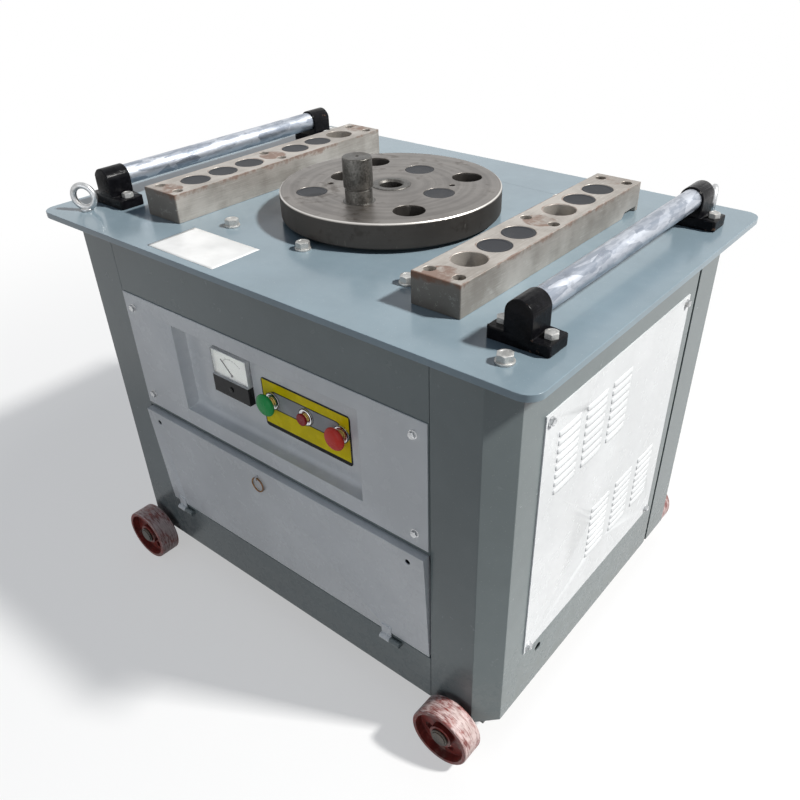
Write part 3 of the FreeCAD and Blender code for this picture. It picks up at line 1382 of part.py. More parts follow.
# ----------------------------------------------------------------------- wheels
def wheel(side, end):
    """Cast wheel with recessed webs, a hub and four web holes."""
    x = side * WHEEL_X
    low, high = sorted((end * WHEEL_INNER, end * WHEEL_OUTER))
    outer = WHEEL_DIAMETER / 2
    rim = outer - WHEEL_RIM
    hub = WHEEL_HUB / 2
    bore = AXLE_JOURNAL / 2 + AXLE_CLEARANCE
    middle = (low + high) / 2
    web0 = middle - WHEEL_WEB / 2
    web1 = middle + WHEEL_WEB / 2
    face = WHEEL_HUB_INSET
    profile = [
        (bore, low + face), (hub, low + face), (hub, web0), (rim, web0), (rim, low),
        (outer - WHEEL_EDGE, low), (outer, low + WHEEL_EDGE), (outer, high - WHEEL_EDGE),
        (outer - WHEEL_EDGE, high), (rim, high), (rim, web1), (hub, web1), (hub, high - face),
        (bore, high - face),
    ]
    body = turned(profile, "y", x, WHEEL_Z)
    holes = []
    for k in range(WHEEL_HOLES):
        angle = math.radians(20 + k * 360.0 / WHEEL_HOLES)
        a = x + WHEEL_HOLE_CIRCLE / 2 * math.cos(angle)
        b = WHEEL_Z + WHEEL_HOLE_CIRCLE / 2 * math.sin(angle)
        holes.append(rod("y", a, b, web0, web1, WHEEL_HOLE))
    return less(body, holes)


def wheel_axles():
    """Two axles from front to rear, each with a retaining ring at both ends."""
    pieces = []
    shoulder = WHEEL_INNER + WHEEL_HUB_INSET - AXLE_PLAY
    ring_in = WHEEL_OUTER - WHEEL_HUB_INSET + AXLE_PLAY
    journal = AXLE_JOURNAL / 2
    body = AXLE_BODY / 2
    ring = AXLE_RING / 2
    end = ring_in + AXLE_RING_THICK + 2
    ring_out = ring_in + AXLE_RING_THICK
    for x in (-WHEEL_X, WHEEL_X):
        half = [(body, shoulder), (journal, shoulder), (journal, ring_in), (ring, ring_in), (ring, ring_out),
                (journal, ring_out), (journal, end), (0, end)]
        front = [(r, -h) for r, h in half[::-1]]
        pieces.append(turned(front + half, "y", x, WHEEL_Z))
    return group(pieces)


def axle_brackets():
    """Plates hanging under the floor that hold the axles."""
    plates = []
    for side in (-1, 1):
        for end in (-1, 1):
            x = side * WHEEL_X
            low, high = sorted((end * AXLE_BRACKET_Y, end * (AXLE_BRACKET_Y - AXLE_BRACKET_THICK)))
            plate = box(
                x - AXLE_BRACKET_WIDTH / 2, x + AXLE_BRACKET_WIDTH / 2, low, high,
                AXLE_BRACKET_LOW, FLOOR_TOP - FLOOR_THICK,
            )
            plates.append(plate.cut(rod("y", x, WHEEL_Z, low, high, AXLE_BODY)))
    return group(plates)


# ------------------------------------------------------------ electrical group
def electrical_plate():
    """Mounting plate for the contactors, folded against the right wall."""
    wall = HALF_LENGTH - SHEET
    plate = box(ELECTRIC_LEFT, wall, ELECTRIC_Y, ELECTRIC_Y + SHEET, ELECTRIC_LOW, ELECTRIC_HIGH)
    flange = box(wall - SHEET, wall, ELECTRIC_Y, ELECTRIC_Y + ELECTRIC_FLANGE, ELECTRIC_FLANGE_LOW, ELECTRIC_HIGH)
    return join([plate, flange])


def contactors():
    """Forward and reverse contactors and the overload relay."""
    pieces = []
    z = (ELECTRIC_LOW + ELECTRIC_HIGH) / 2
    for k in range(CONTACTOR_COUNT):
        x = ELECTRIC_LEFT + CONTACTOR_WIDTH + k * CONTACTOR_PITCH
        half = CONTACTOR_WIDTH / 2
        tall = CONTACTOR_HEIGHT / 2
        body = box(x - half, x + half, ELECTRIC_Y - CONTACTOR_DEPTH / 2, ELECTRIC_Y, z - tall, z + tall)
        nose = box(
            x - half + 4, x + half - 4, ELECTRIC_Y - CONTACTOR_DEPTH, ELECTRIC_Y - CONTACTOR_DEPTH / 2,
            z - tall / 2, z + tall / 2,
        )
        pieces.append(join([body, nose]))
    return group(pieces)


NODES = {
    "table_plate": table_plate,
    "left_hole_bar": lambda: hole_bar(-BAR_CENTRE),
    "right_hole_bar": right_hole_bar,
    "bar_plugs": bar_plugs,
    "bar_screws": bar_screws,
    "eye_bolts": eye_bolts,
    "table_bolts": table_bolts,
    "left_brackets": lambda: group([roller_bracket(-1, end) for end in (-1, 1)]),
    "right_brackets": lambda: group([roller_bracket(1, end) for end in (-1, 1)]),
    "left_roller": lambda: roller(-1),
    "right_roller": lambda: roller(1),
    "bending_disc": bending_disc,
    "disc_plugs": disc_plugs,
    "centre_sleeve": centre_sleeve,
    "bending_pin": bending_pin,
    "main_shaft": main_shaft,
    "worm_wheel": worm_wheel,
    "gearbox_housing": gearbox_housing,
    "gearbox_cover": gearbox_cover,
    "gearbox_bearings": gearbox_bearings,
    "worm_shaft": worm_shaft,
    "large_pulley": large_pulley,
    "motor_pulley": lambda: grooved_pulley(SMALL_PULLEY_PITCH, MOTOR_SHAFT, MOTOR_Z),
    "v_belts": v_belts,
    "motor_body": motor_body,
    "motor_rotor": motor_rotor,
    "motor_fan_cover": motor_fan_cover,
    "motor_terminal_box": motor_terminal_box,
    "motor_base": motor_base,
    "right_side_wall": right_side_wall,
    "left_side_wall": left_side_wall,
    "rear_frame": rear_frame,
    "rear_panel": rear_panel,
    "front_top_rail": front_top_rail,
    "front_bottom_rail": front_bottom_rail,
    "floor_plate": floor_plate,
    "right_vent_panel": lambda: vent_panel(1),
    "left_vent_panel": lambda: vent_panel(-1),
    "panel_bolts": panel_bolts,
    "control_panel": control_panel,
    "button_plate": button_plate,
    "button_bodies": button_bodies,
    "green_button": lambda: mushroom_button(0),
    "small_red_button": small_button,
    "red_stop_button": lambda: mushroom_button(2),
    "voltmeter_case": voltmeter_case,
    "voltmeter_window": voltmeter_window,
    "voltmeter_needle": voltmeter_needle,
    "front_door": front_door,
    "pull_ring": pull_ring,
    "door_hinges": door_hinges,
    "front_left_wheel": lambda: wheel(-1, -1),
    "front_right_wheel": lambda: wheel(1, -1),
    "rear_left_wheel": lambda: wheel(-1, 1),
    "rear_right_wheel": lambda: wheel(1, 1),
    "wheel_axles": wheel_axles,
    "axle_brackets": axle_brackets,
    "electrical_plate": electrical_plate,
    "contactors": contactors,
}

os.makedirs("parts", exist_ok=True)
for name, build in NODES.items():
    build().exportStep(os.path.join("parts", name + ".step"))
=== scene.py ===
"""Looks of an electric rebar bender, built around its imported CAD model.

Every shape is in the CAD frame: +X right along the front, +Y to the rear, +Z up, with the
floor at zero and the disc's axis through the origin. The sub-assemblies and their shapes
count in millimetres and turn into metres when a piece is made; the finishes and the studio
count in metres.
"""

from __future__ import annotations

import itertools
import json
import logging
import math
from dataclasses import dataclass, field
from enum import Enum
from typing import Callable, Mapping, Sequence, Union

import bmesh
import bpy
import numpy as np
from mathutils import Matrix, Vector

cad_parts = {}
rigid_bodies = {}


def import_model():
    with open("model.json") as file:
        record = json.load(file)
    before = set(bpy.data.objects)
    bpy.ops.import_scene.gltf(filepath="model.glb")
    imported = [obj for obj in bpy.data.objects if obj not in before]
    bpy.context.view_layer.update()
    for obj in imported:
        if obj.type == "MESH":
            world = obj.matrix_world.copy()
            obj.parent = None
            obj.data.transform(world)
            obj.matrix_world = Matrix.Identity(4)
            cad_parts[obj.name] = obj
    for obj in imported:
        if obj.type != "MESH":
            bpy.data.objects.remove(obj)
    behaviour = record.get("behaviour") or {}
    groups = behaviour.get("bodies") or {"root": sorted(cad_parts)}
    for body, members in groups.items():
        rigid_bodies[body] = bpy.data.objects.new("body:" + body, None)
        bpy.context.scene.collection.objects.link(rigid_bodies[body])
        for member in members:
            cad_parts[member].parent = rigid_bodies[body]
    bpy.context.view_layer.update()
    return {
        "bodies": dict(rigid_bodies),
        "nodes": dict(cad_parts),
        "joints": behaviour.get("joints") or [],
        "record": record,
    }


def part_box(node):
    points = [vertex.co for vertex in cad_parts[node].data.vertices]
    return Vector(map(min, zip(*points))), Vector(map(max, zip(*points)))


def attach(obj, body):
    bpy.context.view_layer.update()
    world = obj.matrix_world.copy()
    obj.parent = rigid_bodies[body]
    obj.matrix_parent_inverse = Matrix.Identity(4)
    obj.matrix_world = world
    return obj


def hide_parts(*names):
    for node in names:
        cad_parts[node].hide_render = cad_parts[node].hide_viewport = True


LOG = logging.getLogger("bender")
MM = 0.001
Colour = tuple[float, float, float]
Number = Union[int, float]
Value = Union["Expr", int, float]
Place = tuple[float, float, float]
Frame = Mapping[str, object]
Owner = Union[bpy.types.Material, bpy.types.World]
MERGE = 1e-6
CAD_MERGE = 2e-6
SAME_PLANE = math.radians(0.6)
SHARP_EDGE = math.radians(34.0)


# ------------------------------------------------------------------ shader expressions
def joined(operation: str) -> Callable[[Expr, Value], Expr]:
    """Method that joins an expression and another value in one Math node."""

    def method(first: Expr, second: Value) -> Expr:
        """Add the node."""
        return first.graph.math(operation, first, second)

    return method


def alone(operation: str) -> Callable[[Expr], Expr]:
    """Method that sends an expression through one Math node."""

    def method(only: Expr) -> Expr:
        """Add the node."""
        return only.graph.math(operation, only)

    return method


class Expr:
    """A number worked out over a surface, joined by Python's operators into Math nodes."""

    def __init__(self, graph: Graph, socket: bpy.types.NodeSocket) -> None:
        """Wrap one output socket of the graph."""
        self.graph = graph
        self.socket = socket

    __add__ = __radd__ = joined("ADD")
    __sub__ = joined("SUBTRACT")
    __mul__ = __rmul__ = joined("MULTIPLY")
    __truediv__ = joined("DIVIDE")
    least = joined("MINIMUM")
    most = joined("MAXIMUM")
    __abs__ = alone("ABSOLUTE")
    fraction = alone("FRACT")
    root = alone("SQRT")

    def __rsub__(self, other: Value) -> Expr:
        """Difference with the number first."""
        return self.graph.math("SUBTRACT", other, self)

    def smooth(self, low: Number, high: Number) -> Expr:
        """Rise from 0 at low to 1 at high along a smooth step; low may be the larger."""
        sockets = {"Value": self, "From Min": low, "From Max": high}
        return self.graph.node("ShaderNodeMapRange", {"interpolation_type": "SMOOTHSTEP"}, sockets)


class Graph:
    """Node tree of one material, with the few kinds of node that the finishes use."""

    def __init__(self, name: str, world: bool = False) -> None:
        """Start an empty material, or an empty world."""
        self.owner = bpy.data.worlds.new(name) if world else bpy.data.materials.new("look_" + name)
        self.owner.use_nodes = True
        self.tree = self.owner.node_tree
        self.tree.nodes.clear()
        self.place = self.node("ShaderNodeTexCoord", {}, {}, "Generated" if world else "Object")

    def feed(self, socket: bpy.types.NodeSocket, value: object) -> None:
        """Link an expression to a socket, or set the socket to a plain value."""
        if isinstance(value, Expr):
            self.tree.links.new(value.socket, socket)
        elif isinstance(value, tuple) and socket.type == "RGBA":
            socket.default_value = (*value, 1.0)
        else:
            socket.default_value = value

    def node(
        self,
        kind: str,
        settings: Mapping[str, object],
        sockets: Mapping[Union[str, int], object],
        output: Union[str, int] = 0,
    ) -> Expr:
        """Add a node.

        Args:
            kind: Blender's name of the node type.
            settings: Properties that are set before the sockets.
            sockets: Values or expressions for its inputs.
            output: Which output to return.

        Returns:
            That output as an expression.
        """
        made = self.tree.nodes.new(kind)
        for key, value in settings.items():
            setattr(made, key, value)
        for key, value in sockets.items():
            self.feed(made.inputs[key], value)
        return Expr(self, made.outputs[output])

    def math(self, operation: str, *values: Value) -> Expr:
        """Add one Math node with its inputs in order."""
        return self.node("ShaderNodeMath", {"operation": operation}, dict(enumerate(values)))

    def stretch(self, scale: tuple[float, float, float], turn: float = 0.0) -> Expr:
        """Object coordinates turned about Z and then scaled."""
        sockets = {"Vector": self.place, "Rotation": (0.0, 0.0, turn), "Scale": scale}
        return self.node("ShaderNodeMapping", {}, sockets)

    def axes(self) -> tuple[Expr, Expr, Expr]:
        """Object coordinates as three numbers, in metres."""
        split = self.tree.nodes.new("ShaderNodeSeparateXYZ")
        self.feed(split.inputs[0], self.place)
        return Expr(self, split.outputs[0]), Expr(self, split.outputs[1]), Expr(self, split.outputs[2])

    def join(self, x: object, y: object, z: object) -> Expr:
        """Three numbers as one vector."""
        return self.node("ShaderNodeCombineXYZ", {}, {0: x, 1: y, 2: z})

    def noise(
        self, scale: float, detail: float = 4.0, rough: float = 0.55, at: Expr | None = None
    ) -> Expr:
        """Fractal noise between about 0.3 and 0.7, by default on object coordinates."""
        sockets = {"Vector": at or self.place, "Scale": scale, "Detail": detail, "Roughness": rough}
        return self.node("ShaderNodeTexNoise", {}, sockets)

    def cells(self, scale: float, at: Expr | None = None, output: str = "Distance") -> Expr:
        """Voronoi cells: distance to the nearest centre, or a colour for each cell."""
        return self.node("ShaderNodeTexVoronoi", {}, {"Vector": at or self.place, "Scale": scale}, output)

    def mix(self, share: Expr, first: object, second: object) -> Expr:
        """Colour that goes from first to second as share goes from 0 to 1."""
        node = self.tree.nodes.new("ShaderNodeMix")
        node.data_type = "RGBA"
        self.feed(node.inputs["Factor"], share)
        for socket, value in zip([s for s in node.inputs if s.type == "RGBA"], (first, second)):
            self.feed(socket, value)
        return Expr(self, [s for s in node.outputs if s.type == "RGBA"][0])

    def bump(
        self, height: Expr, distance: float, strength: float = 1.0, over: Expr | None = None
    ) -> Expr:
        """Normal tilted by a height; distance is the height's full swing in metres."""
        sockets = {"Height": height, "Distance": distance, "Strength": strength}
        if over is not None:
            sockets["Normal"] = over
        return self.node("ShaderNodeBump", {}, sockets)

    def seen(self) -> Expr:
        """One where the camera, a mirror or clear plastic looks, nought where light only falls."""
        path = self.tree.nodes.new("ShaderNodeLightPath")
        kinds = ("Is Camera Ray", "Is Glossy Ray", "Is Transmission Ray")
        camera, glossy, clear = (Expr(self, path.outputs[kind]) for kind in kinds)
        return camera.most(glossy).most(clear)

    def finish(self, shader: Expr, kind: str = "ShaderNodeOutputMaterial") -> Owner:
        """Send a shader to the output and return the material or world."""
        output = self.tree.nodes.new(kind)
        self.tree.links.new(shader.socket, output.inputs["Surface"])
        return self.owner

    def surface(self, **sockets: object) -> bpy.types.Material:
        """Finish the material with a Principled shader; socket names use _ for a space."""
        names = {key.replace("_", " "): value for key, value in sockets.items()}
        return self.finish(self.node("ShaderNodeBsdfPrincipled", {}, names))


# ------------------------------------------------------------------------------ finishes
def shade(colour: Colour, factor: float) -> Colour:
    """Colour made darker or lighter by a factor."""
    return tuple(min(1.0, part * factor) for part in colour)  # type: ignore[return-value]


@dataclass(frozen=True)
class Look:
    """A named look; each kind draws its own nodes."""

    name: str

    def make(self) -> bpy.types.Material:
        """Build the material."""
        return self.draw(Graph(self.name))

    def draw(self, g: Graph) -> bpy.types.Material:
        """Add the look's nodes to an empty graph."""
        raise NotImplementedError


@dataclass(frozen=True)
class Paint(Look):
    """Glossy sprayed paint with orange peel, faint buckles in the sheet and dust."""

    colour: Colour
    dust: Colour
    dust_share: float = 0.25
    rough: float = 0.24
    buckle: float = 0.0016
    streaks: float = 0.0

    def draw(self, g: Graph) -> bpy.types.Material:
        """Build the material."""
        x, y, z = g.axes()
        clouds = g.noise(3.2, 5.0, 0.6)
        fine = g.noise(42.0, 5.0, 0.65)
        specks = g.noise(420.0, 2.0, 0.5).smooth(0.68, 0.74)
        tone = g.mix(clouds.smooth(0.35, 0.65), shade(self.colour, 0.90), shade(self.colour, 1.07))
        film = (clouds * 0.5 + fine * 0.5).smooth(0.45, 0.70) * self.dust_share
        run = g.noise(7.0, 4.0, 0.6, g.stretch((6.0, 6.0, 0.6))).smooth(0.52, 0.72) * self.streaks
        low = z.smooth(0.20, 0.03) * fine.smooth(0.35, 0.65) * 0.55
        base = g.mix(film.most(run).most(low), tone, self.dust)
        base = g.mix(specks * 0.6, base, shade(self.dust, 1.15))
        rough = fine * 0.12 + film * 0.35 + low * 0.25 + (self.rough - 0.06)
        wave = g.bump(g.noise(5.0, 1.0, 0.4), self.buckle, 0.6)
        peel = g.bump(g.noise(520.0, 2.0, 0.5), 0.00004, 0.5, wave)
        return g.surface(
            Base_Color=base, Roughness=rough, Normal=peel, Specular_IOR_Level=0.28, Coat_Weight=0.08,
            Coat_Roughness=0.08,
        )


@dataclass(frozen=True)
class TurnedSteel(Look):
    """Steel turned on a lathe about the disc's axis: rings, stains, painted shade on the side and socket
    walls and a painted highlight along the rim.
    """

    light: Colour
    dark: Colour
    stain: Colour
    rim: float

    def draw(self, g: Graph) -> bpy.types.Material:
        """Build the material; the ring pattern is noise along the distance from the axis."""
        x, y, z = g.axes()
        radius = (x * x + y * y).root()
        rings = g.noise(1.0, 3.0, 0.7, g.join(radius * 1400.0, 0.0, z * 700.0))
        broad = g.noise(1.0, 2.0, 0.5, g.join(radius * 90.0, 0.0, z * 40.0))
        blot = g.noise(9.0, 6.0, 0.62)
        spots = g.noise(60.0, 5.0, 0.6)
        tone = g.mix((blot * 0.6 + broad * 0.4).smooth(0.36, 0.64), self.dark, self.light)
        tone = g.mix((blot * 0.55 + spots * 0.45).smooth(0.53, 0.63) * 0.75, tone, self.stain)
        # Painted shade: below the disc's top face, the side wall and the socket walls are darkened
        # towards the dark tone.
        side = z.smooth(0.7430, 0.7415)
        tone = g.mix(side * 0.85, tone, shade(self.dark, 0.30))
        # Painted highlight: a pale band along the outer edge of the disc's top face.
        edge = radius.smooth(self.rim - 0.0030, self.rim - 0.0012) * z.smooth(0.7425, 0.7445)
        tone = g.mix(edge, tone, (0.72, 0.70, 0.67))
        scratch = g.noise(1.0, 2.0, 0.8, g.stretch((900.0, 26.0, 40.0), 0.7)).smooth(0.70, 0.78)
        tone = g.mix(scratch * 0.35, tone, (0.62, 0.60, 0.57))
        rough = rings * 0.16 + blot * 0.22 + side * 0.22 + 0.22
        normal = g.bump(rings, 0.00002, 0.6)
        normal = g.bump(spots, 0.00012, 0.35, normal)
        return g.surface(Base_Color=tone, Roughness=rough, Metallic=0.92, Normal=normal)


@dataclass(frozen=True)
class MilledSteel(Look):
    """Milled hole-bar steel: long tool marks, brown stains, rust round edges and sockets, and painted
    shade on the front end faces.
    """

    light: Colour
    dark: Colour
    rust: Colour
    centre: float = 272 * MM
    half_width: float = 38 * MM
    half_length: float = 240 * MM
    socket_first: float = 54.5 * MM
    socket_pitch: float = 57 * MM
    socket_radius: float = 24 * MM

    def draw(self, g: Graph) -> bpy.types.Material:
        """Build the material; rust follows the distance to the nearest socket and edge."""
        x, y, z = g.axes()
        across = abs(abs(x) - self.centre)
        step = (abs(y) - self.socket_first) / self.socket_pitch
        along = ((step + 0.5).fraction() - 0.5) * self.socket_pitch
        hole = (across * across + along * along).root()
        marks = g.noise(1.0, 3.0, 0.7, g.stretch((900.0, 22.0, 900.0)))
        blot = g.noise(11.0, 6.0, 0.62)
        grain = g.noise(75.0, 5.0, 0.65)
        tone = g.mix((blot * 0.7 + marks * 0.3).smooth(0.36, 0.62), self.dark, self.light)
        ring = hole.smooth(self.socket_radius + 0.0075, self.socket_radius - 0.001)
        ring = ring * z.smooth(0.744, 0.7449)
        side = across.smooth(self.half_width - 0.006, self.half_width)
        end = abs(y).smooth(self.half_length - 0.010, self.half_length)
        rim = side.most(end) * z.smooth(0.722, 0.745)
        worn = (ring.most(rim) * 0.42 + blot * 0.6 + grain * 0.45).smooth(0.84, 1.02)
        # The front end faces: the first mix below is painted shade that darkens them; the stains in the
        # second mix also gather there.
        front = y.smooth(-self.half_length + 0.004, -self.half_length - 0.0005)
        stain = (front * 0.42 + blot * 0.5 + grain * 0.5).smooth(0.66, 0.86)
        tone = g.mix(front * 0.70, tone, shade(self.dark, 0.25))
        tone = g.mix(stain * 0.70, tone, shade(self.dark, 0.35))
        tone = g.mix(worn * 0.70, tone, self.rust)
        bright = (grain * 0.6 + marks * 0.4).smooth(0.55, 0.66) * (1.0 - worn) * 0.35
        tone = g.mix(bright, tone, (0.66, 0.65, 0.62))
        rough = marks * 0.18 + worn * 0.25 + blot * 0.18 + 0.26
        normal = g.bump(marks, 0.00004, 0.6)
        normal = g.bump(grain, 0.00025, 0.35, normal)
        return g.surface(Base_Color=tone, Roughness=rough, Metallic=0.55, Normal=normal)


@dataclass(frozen=True)
class Galvanised(Look):
    """Hot-dip zinc on a tube: crystals, pulled along the tube, with bright streaks."""

    light: Colour
    dark: Colour

    def draw(self, g: Graph) -> bpy.types.Material:
        """Build the material from two sizes of stretched cells."""
        long = g.stretch((1.0, 0.30, 1.0))
        crystal = g.node("ShaderNodeSeparateColor", {}, {0: g.cells(95.0, long, "Color")})
        small = g.node("ShaderNodeSeparateColor", {}, {0: g.cells(260.0, long, "Color")})
        streak = g.noise(1.0, 4.0, 0.6, g.stretch((160.0, 9.0, 160.0)))
        grime = g.noise(26.0, 5.0, 0.65)
        bright = (crystal * 0.45 + small * 0.2 + streak * 0.6).smooth(0.32, 0.86)
        tone = g.mix(bright, self.dark, self.light)
        tone = g.mix(grime.smooth(0.58, 0.72) * 0.45, tone, (0.16, 0.175, 0.20))
        rough = crystal * 0.16 + grime * 0.20 + 0.18
        normal = g.bump(crystal, 0.00003, 0.4)
        normal = g.bump(streak, 0.0001, 0.4, normal)
        return g.surface(Base_Color=tone, Roughness=rough, Metallic=0.75, Normal=normal)


@dataclass(frozen=True)
class BlackCasting(Look):
    """Rough sand casting under thick gloss black paint."""

    colour: Colour

    def draw(self, g: Graph) -> bpy.types.Material:
        """Build the material from three sizes of lumps."""
        lumps = g.noise(95.0, 5.0, 0.62)
        pits = g.cells(330.0)
        chips = (g.noise(150.0, 5.0, 0.6) * 0.5 + g.noise(17.0, 3.0, 0.5) * 0.5).smooth(0.60, 0.64)
        base = g.mix(lumps.smooth(0.4, 0.7), self.colour, shade(self.colour, 2.0))
        base = g.mix(chips * 0.6, base, (0.20, 0.11, 0.07))
        rough = lumps * 0.25 + chips * 0.3 + 0.10
        normal = g.bump(lumps, 0.0011, 0.55)
        normal = g.bump(pits, 0.00025, 0.35, normal)
        return g.surface(Base_Color=base, Roughness=rough, Normal=normal, Specular_IOR_Level=0.08)


@dataclass(frozen=True)
class WheelCasting(Look):
    """Cast wheel in dark red paint, rubbed pale on the tread and dusty in the webs."""

    colour: Colour
    worn: Colour
    centre_x: float = 375 * MM
    radius: float = 52 * MM

    def draw(self, g: Graph) -> bpy.types.Material:
        """Build the material; wear follows the distance from the axle's line."""
        x, y, z = g.axes()
        side = abs(x) - self.centre_x
        up = z - self.radius
        reach = (side * side + up * up).root()
        lumps = g.noise(70.0, 5.0, 0.62)
        scuff = g.noise(1.0, 4.0, 0.7, g.stretch((60.0, 300.0, 60.0)))
        dirt = g.noise(33.0, 5.0, 0.6)
        base = g.mix(lumps.smooth(0.38, 0.66), shade(self.colour, 0.55), self.colour)
        base = g.mix(dirt.smooth(0.52, 0.68) * 0.55, base, (0.16, 0.10, 0.08))
        tread = reach.smooth(self.radius - 0.0022, self.radius - 0.0008)
        rub = tread * (scuff * 0.6 + dirt * 0.4).smooth(0.40, 0.60)
        base = g.mix(rub * 0.9, base, self.worn)
        dust = (dirt * 0.6 + lumps * 0.4).smooth(0.52, 0.62) * 0.35
        base = g.mix(dust, base, (0.36, 0.27, 0.24))
        rough = lumps * 0.25 + rub * 0.2 + 0.36
        normal = g.bump(lumps, 0.0012, 0.5)
        normal = g.bump(g.noise(240.0, 3.0, 0.6), 0.0003, 0.4, normal)
        return g.surface(
            Base_Color=base, Roughness=rough, Normal=normal, Coat_Weight=0.12, Coat_Roughness=0.3
        )


@dataclass(frozen=True)
class Metal(Look):
    """Plain metal with a cloudy tone, fine grain and a little grime."""

    light: Colour
    dark: Colour
    grime: Colour = (0.10, 0.09, 0.08)
    grime_share: float = 0.4
    rough: float = 0.25
    metallic: float = 0.95
    scale: float = 60.0
    relief: float = 0.0001

    def draw(self, g: Graph) -> bpy.types.Material:
        """Build the material."""
        clouds = g.noise(self.scale, 5.0, 0.6)
        grain = g.noise(self.scale * 8.0, 3.0, 0.6)
        base = g.mix((clouds * 0.6 + grain * 0.4).smooth(0.38, 0.64), self.dark, self.light)
        dirt = (clouds * 0.5 + g.noise(self.scale * 0.35, 4.0, 0.6) * 0.5).smooth(0.52, 0.66)
        base = g.mix(dirt * self.grime_share, base, self.grime)
        rough = clouds * 0.20 + dirt * 0.22 + (self.rough - 0.08)
        normal = g.bump(grain, self.relief, 0.5)
        return g.surface(Base_Color=base, Roughness=rough, Metallic=self.metallic, Normal=normal)


@dataclass(frozen=True)
class Moulded(Look):
    """Moulded plastic or rubber with a fine grain and faint dust."""

    colour: Colour
    dust: Colour = (0.42, 0.40, 0.37)
    dust_share: float = 0.12
    rough: float = 0.30
    grain: float = 900.0
    relief: float = 0.00003
    gloss: float = 0.18

    def draw(self, g: Graph) -> bpy.types.Material:
        """Build the material."""
        clouds = g.noise(38.0, 5.0, 0.65)
        drift = g.noise(12.0, 3.0, 0.5).smooth(0.35, 0.65)
        tone = g.mix(drift, shade(self.colour, 0.88), shade(self.colour, 1.08))
        base = g.mix(clouds.smooth(0.50, 0.72) * self.dust_share, tone, self.dust)
        rough = clouds * 0.18 + (self.rough - 0.08)
        normal = g.bump(g.noise(self.grain, 2.0, 0.5), self.relief, 0.6)
        return g.surface(Base_Color=base, Roughness=rough, Normal=normal, Specular_IOR_Level=self.gloss)


@dataclass(frozen=True)
class LabelPlate(Look):
    """Yellow plate with a black line round it and a grey field behind the buttons."""

    yellow: Colour = (1.00, 0.80, 0.01)
    black: Colour = (0.02, 0.02, 0.02)
    grey: Colour = (0.46, 0.47, 0.48)
    centre_x: float = 70 * MM
    centre_z: float = 481 * MM
    half_length: float = 92 * MM
    half_height: float = 44 * MM
    field_z: float = 491 * MM
    field_half: float = 78 * MM
    field_radius: float = 15.5 * MM

    def draw(self, g: Graph) -> bpy.types.Material:
        """Build the material from distances to the plate's edge and to a stadium outline."""
        x, y, z = g.axes()
        dx = abs(x - self.centre_x)
        dz = abs(z - self.centre_z)
        inset = (dx * -1.0 + self.half_length).least(dz * -1.0 + self.half_height)
        line = inset.smooth(0.0026, 0.0022)
        low = self.centre_z - self.half_height
        foot = z.smooth(low + 0.0075, low + 0.0070)
        past = (dx - (self.field_half - self.field_radius)).most(0.0)
        dip = z - self.field_z
        reach = (past * past + dip * dip).root()
        inside = reach.smooth(self.field_radius + 0.0003, self.field_radius - 0.0003)
        outline = abs(reach - self.field_radius).smooth(0.0012, 0.0008)
        wear = g.noise(30.0, 5.0, 0.6)
        tone = g.mix(wear.smooth(0.40, 0.66), shade(self.yellow, 0.86), self.yellow)
        tone = g.mix(line.most(foot), tone, self.black)
        tone = g.mix(inside, tone, g.mix(wear.smooth(0.4, 0.6), shade(self.grey, 0.85), self.grey))
        tone = g.mix(outline, tone, self.black)
        rough = wear * 0.2 + 0.16
        normal = g.bump(g.noise(300.0, 2.0, 0.5), 0.00003, 0.5)
        return g.surface(Base_Color=tone, Roughness=rough, Normal=normal, Specular_IOR_Level=0.06)


@dataclass(frozen=True)
class MeterCase(Look):
    """Moulded meter case: pale clear top round the dial, black below the sill."""

    pale: Colour = (0.78, 0.79, 0.80)
    black: Colour = (0.014, 0.014, 0.015)
    sill: float = 497 * MM

    def draw(self, g: Graph) -> bpy.types.Material:
        """Build the material; the two plastics meet at the sill's height."""
        x, y, z = g.axes()
        wear = g.noise(60.0, 4.0, 0.6)
        top = g.mix(wear.smooth(0.4, 0.65), shade(self.pale, 0.86), self.pale)
        tone = g.mix(z.smooth(self.sill - 0.0003, self.sill + 0.0003), self.black, top)
        rough = wear * 0.16 + 0.14
        normal = g.bump(g.noise(700.0, 2.0, 0.5), 0.00003, 0.5)
        return g.surface(Base_Color=tone, Roughness=rough, Normal=normal, Specular_IOR_Level=0.12)


@dataclass(frozen=True)
class ClearWindow(Look):
    """Clear moulded window with a few fine marks."""

    def draw(self, g: Graph) -> bpy.types.Material:
        """Build the material."""
        marks = g.noise(140.0, 4.0, 0.6)
        rough = marks.smooth(0.62, 0.75) * 0.12 + 0.015
        return g.surface(
            Base_Color=(0.96, 0.98, 0.98), Roughness=rough, Transmission_Weight=1.0, IOR=1.46
        )


